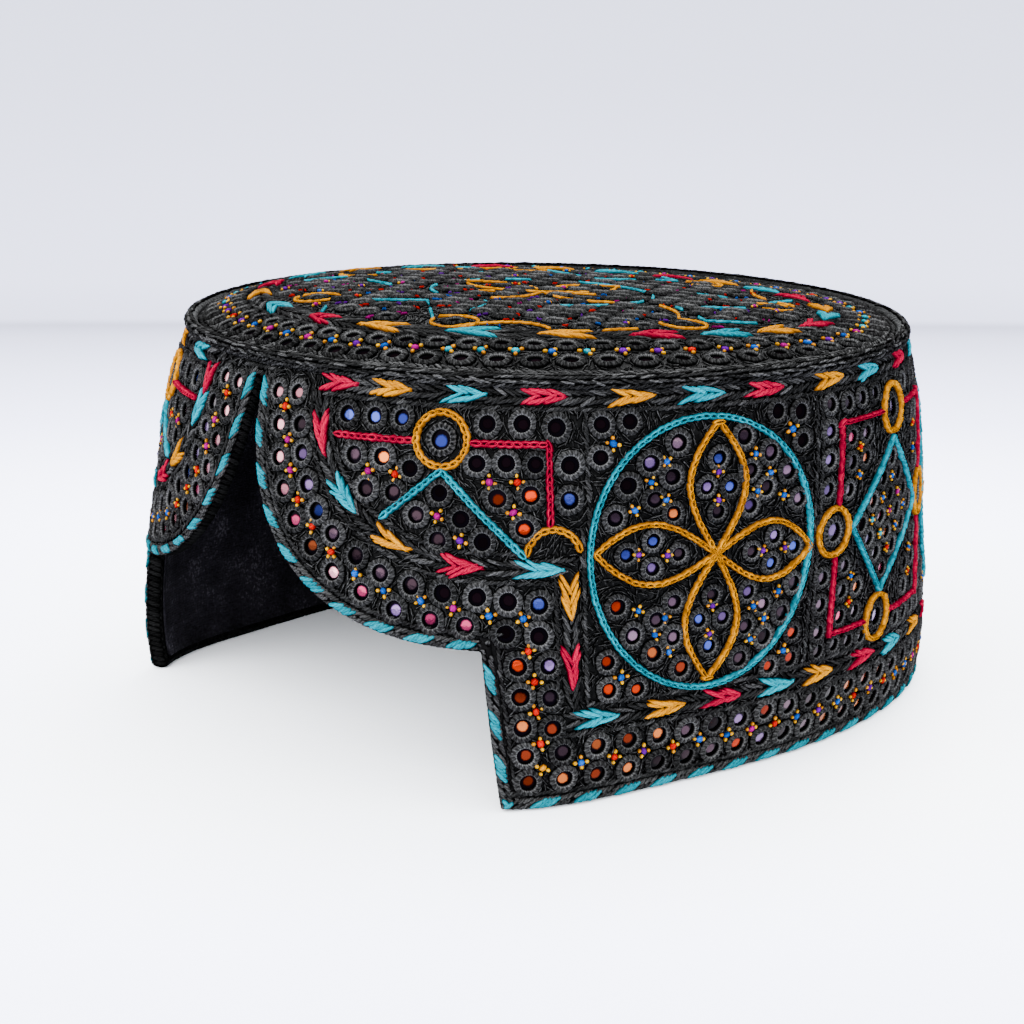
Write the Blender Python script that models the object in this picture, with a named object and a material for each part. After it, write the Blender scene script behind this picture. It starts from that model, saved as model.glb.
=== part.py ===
"""Sindhi cap: a stiff round embroidered cap with a low domed crown and an arched notch at the front.

The front of the cap faces -Y, +Z is up, and the rim stands on the plane z = 0.
A place on the side wall is given by s, the distance round the cap from the middle of the front
(positive towards +X, measured half way up), and h, the height above the rim.
"""
import math

import bmesh
import bpy
import numpy as np

# Side wall, measured over the stitches, in metres and radians
RIM_RADIUS = 0.0930
RIM_OVAL = 0.095            # the rim is this share longer front to back than its mean
CROWN_RADIUS = 0.0878
CROWN_OVAL = -0.044         # the crown is this share wider side to side than its mean
CROWN_FORWARD = 0.0030      # the crown's middle lies this far in front of the rim's
SEAM_HEIGHT = 0.0917        # rim to the middle of the seam rope
BARREL = 0.00375            # the wall swells this much between rim and crown
FLARE = 0.0085              # the rim's front corners stand out this much
FLARE_ANGLE = 0.725
FLARE_WIDTH = 0.30
CENTRE_BACK = 0.0031        # the middle of the cap's length lies this far behind the rim oval's

# Notch: a step at each side of the front, and above it a lobe with a superelliptic edge
STEP_FOOT = 0.0708          # s of the step at the rim
STEP_HEAD = 0.0672          # s of the step where the lobe's edge begins
LOBE_MIDDLE_S = 0.0717
LOBE_MIDDLE_H = 0.1007
LOBE_REACH = 0.0702
LOBE_DROP = 0.0655
LOBE_POWER = 2.7

# Layers of the wall, as depths below the outside of the stitches
STITCH_DEPTH = 0.0008
CLOTH = 0.0020
LINING = 0.0010
GAP = 0.0003

# Edge binding: its height in the cloth's plane and its section
BINDING_HEIGHT = 0.0026
BINDING_DEPTH = 0.0040
BINDING_ROUND = 0.0006

# Crown, seam rope
ROPE_RADIUS = 0.0015
ROPE_INSET = 0.0005         # the rope's middle lies this far inside the wall's outline
CROWN_INSET = ROPE_INSET + ROPE_RADIUS + GAP
CROWN_RISE = 0.0060         # the crown's middle stands this far above its edge
CROWN_LEAN = 0.0042         # and rises this much more towards the front, less towards the back
CROWN_POWER = 5             # high power: a nearly flat top with a sloping border
CROWN_TOP = SEAM_HEIGHT - 0.0002
BAND_TOP = CROWN_TOP - CLOTH - GAP
CROWN_LINING_TOP = CROWN_TOP - CLOTH - GAP
BAND_LINING_TOP = CROWN_LINING_TOP - LINING - GAP

# Framed mirrors: a row for each ring profile point, from the middle out
MIRROR_SIDES = 10
MIRROR_PROFILE = (
    # radius, height above the mirror's seat
    (0.0024, 0.00040),
    (0.0031, 0.00105),
    (0.0038, 0.00085),
    (0.0042, 0.00025),
    (0.0040, 0.00000),
)
PANEL_PITCH = 0.060         # the square and round panels follow each other at this distance
PANEL_MIDDLE_H = 0.0535
SQUARE_REACH_S = 0.0238     # from a square's middle to its side mirrors
SQUARE_REACH_H = 0.0250     # from a square's middle to its top and bottom mirrors
LOBE_MIRROR_S = 0.0576
LOBE_MIRROR_H = 0.0792

# Steps of the meshes
RIM_STEPS = 28
STEP_STEPS = 3
STEP_FAN = 0.004            # the columns that start on the step end this far apart at the crown
LOBE_STEPS = 18
WALL_ROWS = (0.0, 0.07, 0.19, 0.36, 0.55, 0.74, 0.9, 1.0)
CROWN_RINGS = (0.50, 0.77, 0.90, 1.0)
OVAL_STEPS = 72


def plan_radii(angle, outward):
    """Radii of the rim oval and the crown oval at an angle from the front."""
    flare = FLARE * (np.exp(-((angle - FLARE_ANGLE) / FLARE_WIDTH) ** 2)
                     + np.exp(-((angle + FLARE_ANGLE) / FLARE_WIDTH) ** 2))
    rim = RIM_RADIUS * (1 + RIM_OVAL * np.cos(2 * angle)) + flare + outward
    crown = CROWN_RADIUS * (1 + CROWN_OVAL * np.cos(2 * angle)) + outward
    return rim, crown


def wall_at_angle(angle, height, outward=0.0):
    """Point on the side wall, outward from the outside of the stitches."""
    angle, height, outward = np.broadcast_arrays(angle, height, outward)
    up = np.clip(height / SEAM_HEIGHT, 0, 1)
    rim, crown = plan_radii(angle, outward)
    radius = rim * (1 - up) + crown * up + BARREL * (1 - (2 * up - 1) ** 4)
    forward = radius * np.cos(angle) + CROWN_FORWARD * up + CENTRE_BACK
    return np.stack([radius * np.sin(angle), -forward, height], axis=-1)


def round_table():
    """Angles from the front to the back, and the distances s that belong to them."""
    angles = np.linspace(0, math.pi, 721)
    points = wall_at_angle(angles, SEAM_HEIGHT / 2)
    steps = np.linalg.norm(np.diff(points, axis=0), axis=1)
    return angles, np.concatenate([[0], np.cumsum(steps)])


ANGLES, DISTANCES = round_table()
HALF_ROUND = DISTANCES[-1]


def wall_point(s, height, outward=0.0):
    """Point on the side wall at distance s round the cap."""
    s = np.asarray(s, dtype=float)
    angle = np.sign(s) * np.interp(np.abs(s), DISTANCES, ANGLES)
    return wall_at_angle(angle, height, outward)


def lobe_edge(turn):
    """Point (s, h) on the lobe's edge, for a turn from 0 at the step to a quarter at its far left."""
    s = LOBE_MIDDLE_S - LOBE_REACH * np.sin(turn) ** (2 / LOBE_POWER)
    h = LOBE_MIDDLE_H - LOBE_DROP * np.cos(turn) ** (2 / LOBE_POWER)
    return np.array([s, h])


def turn_where(measure, wanted):
    """Turn at which a measure of the lobe's edge reaches the wanted value, by halving."""
    low, high = 0.0, math.pi / 2
    for _ in range(40):
        middle = (low + high) / 2
        if measure(lobe_edge(middle)) < wanted:
            low = middle
        else:
            high = middle
    return low


def half_edge(top):
    """Free edge of the cloth from the back middle to the front, ending at height top."""
    first = turn_where(lambda point: -point[0], -STEP_HEAD)
    last = turn_where(lambda point: point[1], top)
    rim = [(s, 0.0) for s in np.linspace(HALF_ROUND, STEP_FOOT, RIM_STEPS + 1)]
    head = lobe_edge(first)
    step = [(STEP_FOOT + (head[0] - STEP_FOOT) * k / STEP_STEPS, head[1] * k / STEP_STEPS)
            for k in range(1, STEP_STEPS)]
    lobe = [tuple(lobe_edge(turn)) for turn in np.linspace(first, last, LOBE_STEPS + 1)]
    return np.array(rim + step + lobe)


def inset(edge, depth):
    """The edge moved into the cloth by depth, with mitred corners."""
    along = np.diff(edge, axis=0)
    along /= np.linalg.norm(along, axis=1)[:, None]
    normal = np.stack([along[:, 1], -along[:, 0]], axis=1)
    before = np.vstack([normal[:1], normal])
    after = np.vstack([normal, normal[-1:]])
    mitre = (before + after) / (1 + np.sum(before * after, axis=1))[:, None]
    moved = edge + depth * mitre
    moved[0, 0] = edge[0, 0]
    return moved


def both_halves(half):
    """A half from the back to the front, joined to its mirror image: front +X, back, front -X."""
    mirrored = half * np.array([-1, 1])
    return np.vstack([half[::-1], mirrored[1:]])


def add_object(name, points, faces, material, smooth_angle=math.radians(40)):
    """A named mesh object with its faces turned outwards."""
    mesh = bpy.data.meshes.new(name)
    mesh.from_pydata([tuple(map(float, p)) for p in points], [], faces)
    build = bmesh.new()
    build.from_mesh(mesh)
    bmesh.ops.recalc_face_normals(build, faces=build.faces)
    build.to_mesh(mesh)
    build.free()
    mesh.shade_smooth()
    mesh.set_sharp_from_angle(angle=smooth_angle)
    mesh.materials.append(material)
    placed = bpy.data.objects.new(name, mesh)
    bpy.context.scene.collection.objects.link(placed)
    return placed


def cloth_material(name, colour, roughness, metallic=0.0):
    """A Principled material with one colour."""
    material = bpy.data.materials.new(name)
    material.use_nodes = True
    shader = material.node_tree.nodes["Principled BSDF"]
    shader.inputs["Base Color"].default_value = (*colour, 1)
    shader.inputs["Roughness"].default_value = roughness
    shader.inputs["Metallic"].default_value = metallic
    return material


def open_shell(outer, inner):
    """Points and faces of a closed body between two grids of the same columns and rows."""
    columns, rows = outer.shape[:2]
    points = np.concatenate([outer.reshape(-1, 3), inner.reshape(-1, 3)])
    far = columns * rows

    def at(column, row, side=0):
        return side * far + column * rows + row

    faces = []
    for c in range(columns - 1):
        for r in range(rows - 1):
            faces.append((at(c, r), at(c + 1, r), at(c + 1, r + 1), at(c, r + 1)))
            faces.append((at(c, r, 1), at(c, r + 1, 1), at(c + 1, r + 1, 1), at(c + 1, r, 1)))
        for r in (0, rows - 1):
            faces.append((at(c, r), at(c, r, 1), at(c + 1, r, 1), at(c + 1, r)))
    for c in (0, columns - 1):
        for r in range(rows - 1):
            faces.append((at(c, r), at(c, r + 1), at(c, r + 1, 1), at(c, r, 1)))
    return points, faces


def band_grid(depth, top, outward):
    """Grid of points over the side wall: a column for each point of its lower edge.

    The last column is the upper part of the lobe's own edge.
    """
    edge = inset(half_edge(BAND_TOP), depth)
    rows = len(WALL_ROWS)
    end = edge[-rows:]
    end[-1] = end[-2] + (end[-1] - end[-2]) * (top - end[-2, 1]) / (end[-1, 1] - end[-2, 1])
    foot = edge[:1 - rows]
    corner = RIM_STEPS + STEP_STEPS
    head_s = np.concatenate([
        np.linspace(foot[0, 0], foot[corner, 0] + STEP_STEPS * STEP_FAN, RIM_STEPS + 1),
        foot[corner, 0] + STEP_FAN * np.arange(STEP_STEPS - 1, 0, -1),
        np.linspace(foot[corner, 0], end[-1, 0], len(foot) - corner),
    ])
    share = np.array(WALL_ROWS)
    s = foot[:, 0, None] + (head_s - foot[:, 0])[:, None] * share
    h = foot[:, 1, None] + (top - foot[:, 1])[:, None] * share
    half = np.stack([s, h], axis=-1)
    half[-1] = end
    mirrored = half * np.array([-1, 1])
    chart = np.concatenate([half[::-1], mirrored[1:]])
    return wall_point(chart[..., 0], chart[..., 1], outward)


def make_side_band(material):
    """Stiffened cloth round the head, with the notch at the front."""
    depth = BINDING_HEIGHT + GAP
    outer = band_grid(depth, BAND_TOP, -STITCH_DEPTH)
    inner = band_grid(depth, BAND_TOP, -STITCH_DEPTH - CLOTH)
    return add_object("side_band", *open_shell(outer, inner), material)


def make_band_lining(material):
    """Thin cloth inside the side band, with the same notch."""
    depth = BINDING_HEIGHT + GAP
    outside = -STITCH_DEPTH - CLOTH - GAP
    outer = band_grid(depth, BAND_LINING_TOP, outside)
    inner = band_grid(depth, BAND_LINING_TOP, outside - LINING)
    return add_object("band_lining", *open_shell(outer, inner), material)


def oval(height, outward, share=1.0):
    """Points round the wall's outline at one height, drawn in towards the crown's middle by share."""
    angles = np.arange(OVAL_STEPS) * 2 * math.pi / OVAL_STEPS
    points = wall_at_angle(angles, SEAM_HEIGHT, outward)
    middle = np.array([0, -CROWN_FORWARD - CENTRE_BACK, 0])
    points = middle + (points - middle) * np.array([share, share, 0])
    points[:, 2] = height
    return points


def crown_rise(share, angle):
    """Height of the domed crown above its own edge, for a share of the way from its middle."""
    return (CROWN_RISE + CROWN_LEAN * share * np.cos(angle)) * (1 - share ** CROWN_POWER)


def make_disc(name, outward, top, thickness, material):
    """A low dome of cloth over the oval; top is the height of its edge."""
    angles = np.arange(OVAL_STEPS) * 2 * math.pi / OVAL_STEPS
    rings = [oval(top + crown_rise(share, angles), outward, share) for share in CROWN_RINGS]
    upper = np.concatenate(rings)
    lower = upper - np.array([0, 0, thickness])
    middle = np.array([[0, -CROWN_FORWARD - CENTRE_BACK, top + CROWN_RISE]])
    points = np.concatenate([upper, middle, lower, middle - np.array([[0, 0, thickness]])])
    count = len(upper) + 1
    faces = []
    for side in (0, 1):
        start = side * count
        for k in range(OVAL_STEPS):
            after = (k + 1) % OVAL_STEPS
            faces.append((start + count - 1, start + k, start + after))
            for ring in range(len(CROWN_RINGS) - 1):
                low = start + ring * OVAL_STEPS
                high = low + OVAL_STEPS
                faces.append((low + k, high + k, high + after, low + after))
    rim = (len(CROWN_RINGS) - 1) * OVAL_STEPS
    for k in range(OVAL_STEPS):
        after = (k + 1) % OVAL_STEPS
        faces.append((rim + k, rim + after, count + rim + after, count + rim + k))
    return add_object(name, points, faces, material)


def make_seam_rope(material):
    """Rope round the crown's edge, a closed curve with a round bevel."""
    curve = bpy.data.curves.new("seam_rope", "CURVE")
    curve.dimensions = "3D"
    curve.bevel_depth = ROPE_RADIUS
    curve.bevel_resolution = 2
    spline = curve.splines.new("POLY")
    points = oval(SEAM_HEIGHT, -ROPE_INSET)
    spline.points.add(len(points) - 1)
    for point, place in zip(spline.points, points):
        point.co = (*place, 1)
    spline.use_cyclic_u = True
    curve.materials.append(material)
    placed = bpy.data.objects.new("seam_rope", curve)
    bpy.context.scene.collection.objects.link(placed)
    return placed


def make_edge_binding(material):
    """Padded binding along the free edge, with a flat foot, open at the two lobes' tops."""
    half = half_edge(BAND_TOP)
    low, high = BINDING_ROUND, BINDING_HEIGHT - BINDING_ROUND
    section = (
        # depth into the cloth, outward
        (0, -BINDING_ROUND),
        (low, 0),
        (high, 0),
        (BINDING_HEIGHT, -BINDING_ROUND),
        (BINDING_HEIGHT, BINDING_ROUND - BINDING_DEPTH),
        (high, -BINDING_DEPTH),
        (low, -BINDING_DEPTH),
        (0, BINDING_ROUND - BINDING_DEPTH),
    )
    lines = []
    for depth, outward in section:
        chart = both_halves(inset(half, depth))
        lines.append(wall_point(chart[:, 0], chart[:, 1], outward))
    grid = np.stack(lines, axis=1)
    count, sides = grid.shape[:2]
    faces = []
    for c in range(count - 1):
        for k in range(sides):
            after = (k + 1) % sides
            faces.append((c * sides + k, c * sides + after, (c + 1) * sides + after, (c + 1) * sides + k))
    faces.append(tuple(range(sides)))
    faces.append(tuple((count - 1) * sides + k for k in range(sides)))
    return add_object("edge_binding", grid.reshape(-1, 3), faces, material)


def make_framed_mirror(name, s, h, material):
    """A mirror fused with its stitched ring, lying on the side wall."""
    seat_out = GAP - STITCH_DEPTH
    small = 0.001
    seat = wall_point(s, h, seat_out)
    right = wall_point(s + small, h, seat_out) - wall_point(s - small, h, seat_out)
    up = wall_point(s, h + small, seat_out) - wall_point(s, h - small, seat_out)
    normal = np.cross(right, up)
    normal /= np.linalg.norm(normal)
    right /= np.linalg.norm(right)
    up = np.cross(normal, right)
    points = [seat + normal * MIRROR_PROFILE[0][1], seat]
    for radius, height in MIRROR_PROFILE:
        for k in range(MIRROR_SIDES):
            turn = 2 * math.pi * k / MIRROR_SIDES
            points.append(seat + normal * height + radius * (math.cos(turn) * right + math.sin(turn) * up))
    faces = []
    last = 2 + (len(MIRROR_PROFILE) - 1) * MIRROR_SIDES
    for k in range(MIRROR_SIDES):
        after = (k + 1) % MIRROR_SIDES
        faces.append((0, 2 + k, 2 + after))
        faces.append((1, last + k, last + after))
        for ring in range(len(MIRROR_PROFILE) - 1):
            low = 2 + ring * MIRROR_SIDES
            high = low + MIRROR_SIDES
            faces.append((low + k, high + k, high + after, low + after))
    return add_object(name, points, faces, material, math.radians(25))


def framed_mirror_places():
    """Places (s, h) of the mirrors that sit in orange circles, from the front round to the back."""
    side = [(LOBE_MIRROR_S, LOBE_MIRROR_H)]
    middle = HALF_ROUND - 2 * PANEL_PITCH
    side += [(middle - SQUARE_REACH_S, PANEL_MIDDLE_H), (middle, PANEL_MIDDLE_H + SQUARE_REACH_H),
             (middle, PANEL_MIDDLE_H - SQUARE_REACH_H), (middle + SQUARE_REACH_S, PANEL_MIDDLE_H)]
    side += [(HALF_ROUND - SQUARE_REACH_S, PANEL_MIDDLE_H)]
    back = [(HALF_ROUND, PANEL_MIDDLE_H + SQUARE_REACH_H), (HALF_ROUND, PANEL_MIDDLE_H - SQUARE_REACH_H)]
    return side + [(-s, h) for s, h in side] + back


def build():
    """Clear the scene and make every piece of the cap."""
    for old in list(bpy.data.objects):
        bpy.data.objects.remove(old, do_unlink=True)
    cloth = cloth_material("black_cloth", (0.012, 0.012, 0.014), 0.85)
    lining = cloth_material("black_lining", (0.006, 0.006, 0.009), 0.9)
    rope = cloth_material("grey_black_rope", (0.045, 0.045, 0.05), 0.7)
    binding = cloth_material("turquoise_binding", (0.01, 0.42, 0.5), 0.6)
    mirror = cloth_material("blue_mirror", (0.25, 0.35, 0.8), 0.08, 1.0)
    make_side_band(cloth)
    make_disc("crown_panel", -CROWN_INSET, CROWN_TOP, CLOTH, cloth)
    make_seam_rope(rope)
    make_edge_binding(binding)
    make_band_lining(lining)
    make_disc("crown_lining", -STITCH_DEPTH - CLOTH - GAP, CROWN_LINING_TOP, LINING, lining)
    for number, (s, h) in enumerate(framed_mirror_places(), start=1):
        make_framed_mirror(f"framed_mirror_{number:02d}", s, h, mirror)


build()
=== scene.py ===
"""Looks of the Sindhi cap: every thread, mirror and cloth surface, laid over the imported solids.

Lengths are in millimetres until a point is placed. A chart turns two flat coordinates into a point on the
cap: the wall's are s, the distance round the cap from the middle of the front, and h, the height above the
rim; the crown's are x to the right and y to the back from its middle. Small templates of a stitch, a ring
or a mirror are copied onto the charts in large arrays, one mesh for each colour.
"""

import math

import bpy
import numpy as np
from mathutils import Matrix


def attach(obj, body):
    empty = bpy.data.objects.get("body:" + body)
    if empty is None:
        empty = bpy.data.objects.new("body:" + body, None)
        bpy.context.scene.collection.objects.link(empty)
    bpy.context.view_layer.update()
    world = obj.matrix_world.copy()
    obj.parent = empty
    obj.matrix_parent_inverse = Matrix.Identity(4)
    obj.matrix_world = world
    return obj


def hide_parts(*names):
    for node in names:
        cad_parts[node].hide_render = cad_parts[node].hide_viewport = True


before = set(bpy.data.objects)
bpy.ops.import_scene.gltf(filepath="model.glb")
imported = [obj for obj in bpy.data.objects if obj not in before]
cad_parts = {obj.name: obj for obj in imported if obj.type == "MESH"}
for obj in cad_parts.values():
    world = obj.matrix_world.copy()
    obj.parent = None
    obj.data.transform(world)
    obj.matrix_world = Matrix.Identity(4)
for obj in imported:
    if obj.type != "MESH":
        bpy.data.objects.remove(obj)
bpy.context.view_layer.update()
random = np.random.default_rng(11)

MM = 0.001

# Forms of the solids, in millimetres and radians, as the part's source has them
RIM_RADIUS = 93.0
RIM_OVAL = 0.095
CROWN_RADIUS = 87.8
CROWN_OVAL = -0.044
CROWN_FORWARD = 3.0
SEAM_HEIGHT = 91.7
BARREL = 3.75
FLARE = 8.5
FLARE_ANGLE = 0.725
FLARE_WIDTH = 0.30
CENTRE_BACK = 3.1
STEP_FOOT = 70.8
STEP_HEAD = 67.2
STEP_TOP = 35.2
LOBE_MIDDLE_S = 71.7
LOBE_MIDDLE_H = 100.7
LOBE_REACH = 70.2
LOBE_DROP = 65.5
LOBE_POWER = 2.7
STITCH_DEPTH = 0.8
CLOTH = 2.0
LINING = 1.0
GAP = 0.3
BINDING_HEIGHT = 2.6
BINDING_DEPTH = 4.0
ROPE_RADIUS = 1.5
ROPE_INSET = 0.5
CROWN_INSET = ROPE_INSET + ROPE_RADIUS + GAP
CROWN_RISE = 6.0
CROWN_LEAN = 4.2
CROWN_POWER = 5
CROWN_TOP = SEAM_HEIGHT - 0.2
BAND_TOP = CROWN_TOP - CLOTH - GAP
QUARTER = math.pi / 2
ROUND = 2 * math.pi


def walked(points):
    """Distance of each point from the first, along a line of points."""
    return np.concatenate([[0], np.cumsum(np.linalg.norm(np.diff(points, axis=0), axis=1))])


def oval(radius, share, angle):
    """Radius of an oval at an angle from the front; share is how much longer than its mean it is there."""
    return radius * (1 + share * np.cos(2 * angle))


def wall_at_angle(angle, height, outward):
    """Point on the side wall, outward from the outside of the stitches, in metres."""
    angle, height, outward = np.broadcast_arrays(angle, height, outward)
    up = np.clip(height / SEAM_HEIGHT, 0, 1)
    flare = FLARE * (np.exp(-((angle - FLARE_ANGLE) / FLARE_WIDTH) ** 2)
                     + np.exp(-((angle + FLARE_ANGLE) / FLARE_WIDTH) ** 2))
    low = oval(RIM_RADIUS, RIM_OVAL, angle) + flare + outward
    high = oval(CROWN_RADIUS, CROWN_OVAL, angle) + outward
    radius = low * (1 - up) + high * up + BARREL * (1 - (2 * up - 1) ** 4)
    forward = radius * np.cos(angle) + CROWN_FORWARD * up + CENTRE_BACK
    return np.stack([radius * np.sin(angle), -forward, height], axis=-1) * MM


ANGLES = np.linspace(0, math.pi, 721)
DISTANCES = walked(wall_at_angle(ANGLES, SEAM_HEIGHT / 2, 0.0) / MM)
HALF_ROUND = DISTANCES[-1]


def from_front(s):
    """Any distance round the cap as one between minus and plus half the way round."""
    return (np.asarray(s, dtype=float) + HALF_ROUND) % (2 * HALF_ROUND) - HALF_ROUND


def angle_at(s):
    """Angle from the front at a distance round the cap."""
    s = from_front(s)
    return np.sign(s) * np.interp(np.abs(s), DISTANCES, ANGLES)


def wall(s, h, outward=-STITCH_DEPTH):
    """Point on the wall's cloth, or at any other depth."""
    return wall_at_angle(angle_at(s), h, outward)


def crown_rise(share, angle):
    """Height of the domed crown above its own edge."""
    return (CROWN_RISE + CROWN_LEAN * share * np.cos(angle)) * (1 - share ** CROWN_POWER)


def crown_edge(angle):
    """Radius of the crown's cloth at an angle from the front."""
    return oval(CROWN_RADIUS, CROWN_OVAL, angle) - CROWN_INSET


def crown(x, y):
    """Point on the crown's cloth, x to the right and y to the back from its middle."""
    angle = np.arctan2(x, -y)
    share = np.minimum(np.hypot(x, y) / crown_edge(angle), 1)
    return np.stack([x, y - CROWN_FORWARD - CENTRE_BACK, CROWN_TOP + crown_rise(share, angle)], axis=-1) * MM


def polar(angle, radius):
    """Chart place on the crown at an angle from the front and a distance from its middle."""
    return np.stack([radius * np.sin(angle), -radius * np.cos(angle)], axis=-1)


def crown_place(angles, depth):
    """Chart places on the crown at angles from the front and a true distance in from its edge."""
    shares = np.linspace(1, 0.5, 60)
    radii = []
    for angle, d in zip(angles, np.broadcast_to(depth, angles.shape)):
        edge = crown_edge(angle)
        slope = walked(np.stack([shares * edge, crown_rise(shares, angle)], axis=-1))
        radii.append(edge * np.interp(d, slope, shares))
    return polar(angles, np.array(radii))


def lobe_edge(turn):
    """Point (s, h) on the lobe's edge, for a turn from 0 at the step to a quarter at its top."""
    s = LOBE_MIDDLE_S - LOBE_REACH * np.sin(turn) ** (2 / LOBE_POWER)
    h = LOBE_MIDDLE_H - LOBE_DROP * np.cos(turn) ** (2 / LOBE_POWER)
    return np.stack([s, h], axis=-1)


def free_edge(rim_steps, step_steps, lobe_steps):
    """Free edge of the cloth from the front, over the +X lobe, step and rim, to the back middle."""
    turns = np.linspace(0, QUARTER, 4001)
    points = lobe_edge(turns)
    first = np.interp(-STEP_HEAD, -points[:, 0], turns)
    last = np.interp(BAND_TOP, points[:, 1], turns)
    lobe = lobe_edge(np.linspace(last, first, lobe_steps + 1))
    share = np.linspace(0, 1, step_steps + 1)[1:, None]
    step = lobe[-1] * (1 - share) + np.array([STEP_FOOT, 0]) * share
    rim_s = np.linspace(STEP_FOOT, HALF_ROUND, rim_steps + 1)[1:]
    return np.concatenate([lobe, step, np.stack([rim_s, 0 * rim_s], axis=-1)])


def inward_normals(edge):
    """Directions into the cloth at each point of an edge that has the cloth on its left, mitred."""
    along = np.diff(edge, axis=0)
    along /= np.linalg.norm(along, axis=1)[:, None]
    normal = np.stack([-along[:, 1], along[:, 0]], axis=1)
    before = np.vstack([normal[:1], normal])
    after = np.vstack([normal, normal[-1:]])
    return (before + after) / (1 + np.sum(before * after, axis=1))[:, None]


def inset(edge, depth):
    """The edge moved into the cloth by depth, with its last point straight above where it was."""
    moved = edge + depth * inward_normals(edge)
    moved[-1, 0] = edge[-1, 0]
    return moved


HALF_EDGE = free_edge(380, 60, 160)
EDGE = np.concatenate([HALF_EDGE, HALF_EDGE[-2::-1] * (-1, 1) + (2 * HALF_ROUND, 0)])
EDGE_NORMALS = inward_normals(EDGE)
EDGE_WALK = walked(wall(*EDGE.T) / MM)
EDGE_LENGTH = EDGE_WALK[-1]

# Section of the padded binding: a rounded box, walked from the middle of its outside up into the cloth
SECTION_STEPS = 180
SECTION_POWER = 2 / 3.2


def binding_section():
    """Depths into the cloth and outward places round the binding's section, and the way walked to each."""
    turns = np.linspace(-math.pi, math.pi, SECTION_STEPS + 1)
    into, out = (np.sign(side) * np.abs(side) ** SECTION_POWER for side in (np.sin(turns), np.cos(turns)))
    depth = BINDING_HEIGHT / 2 * (1 + 1.02 * into)
    outward = -BINDING_DEPTH / 2 + BINDING_DEPTH / 2 * 0.98 * out
    walk_round = walked(np.stack([depth, outward], axis=-1))
    return depth, outward, walk_round - walk_round[SECTION_STEPS // 2]


SECTION_DEPTH, SECTION_OUT, SECTION_WALK = binding_section()


def binding(t, w):
    """Point on the binding: t along the free edge, w round its section from the outside's middle."""
    s, h, into_s, into_h = (np.interp(t, EDGE_WALK, column) for column in (*EDGE.T, *EDGE_NORMALS.T))
    depth, outward = (np.interp(w, SECTION_WALK, column) for column in (SECTION_DEPTH, SECTION_OUT))
    return wall(s + depth * into_s, h + depth * into_h, outward)


def rope(t, w):
    """Point on the seam rope: t round the cap at the wall's middle, w round the rope's section."""
    turn = w / ROPE_RADIUS
    point = wall_at_angle(angle_at(t), SEAM_HEIGHT, -ROPE_INSET + ROPE_RADIUS * np.cos(turn))
    point[..., 2] += ROPE_RADIUS * np.sin(turn) * MM
    return point


CHARTS = {"wall": wall, "crown": crown}


def chart_axes(chart, u, v):
    """Steps of the chart and the unit directions along, across and out of it at each place."""
    e = 0.05
    step_u = (chart(u + e, v) - chart(u - e, v)) / (2 * e * MM)
    step_v = (chart(u, v + e) - chart(u, v - e)) / (2 * e * MM)
    out = np.cross(step_u, step_v)
    out /= np.linalg.norm(out, axis=-1, keepdims=True)
    along = step_u / np.linalg.norm(step_u, axis=-1, keepdims=True)
    return step_u, step_v, along, np.cross(out, along), out


def turn_on(chart, u, v, du, dv):
    """Turn on the surface, from the chart's first direction, of a step (du, dv)."""
    step_u, step_v, along, across, _ = chart_axes(chart, u, v)
    step = step_u * du[:, None] + step_v * dv[:, None]
    return np.arctan2(np.sum(step * across, axis=-1), np.sum(step * along, axis=-1))


def dot(a, b):
    """Products of directions in pairs, a row for each place."""
    return np.sum(a * b, axis=1)[:, None]


def chart_step(axes, x, y):
    """Step on the chart that goes x along and y across the surface; a row for each place."""
    step_u, step_v, along, across, _ = axes
    uu, uv, vv = dot(step_u, step_u), dot(step_u, step_v), dot(step_v, step_v)
    right_u = x * dot(along, step_u)
    right_v = x * dot(along, step_v) + y * dot(across, step_v)
    determinant = uu * vv - uv * uv
    return (vv * right_u - uv * right_v) / determinant, (uu * right_v - uv * right_u) / determinant


def beside(chart, u, v, turn, offset):
    """Chart places a true distance to the left of each place, seen along its turn."""
    x, y = np.cos(turn + QUARTER) * offset, np.sin(turn + QUARTER) * offset
    du, dv = chart_step(chart_axes(chart, u, v), x[:, None], y[:, None])
    return u + du[:, 0], v + dv[:, 0]


def places(u, v, turn=0.0, length=1.0, width=1.0, height=1.0, lift=0.0):
    """Places, turns and sizes of copies of a template on a chart, a column for each copy."""
    u = np.atleast_1d(np.asarray(u, dtype=float))
    rows = (u, v, turn, length, width, height, lift)
    return np.array([np.broadcast_to(np.asarray(row, dtype=float), u.shape) for row in rows])


def shaken(rows, turn, size, shift):
    """The same places with a small random turn, size and shift."""
    rows = rows.copy()
    count = rows.shape[1]
    rows[0:2] += random.normal(0, shift, (2, count))
    rows[2] += random.normal(0, turn, count)
    rows[3:6] *= 1 + random.normal(0, size, (3, count))
    return rows


def split(count, share, first, second):
    """Two names, each with the places it gets; about the given share of them goes to the first."""
    chosen = random.uniform(size=count) < share
    return (first, chosen), (second, ~chosen)


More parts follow.
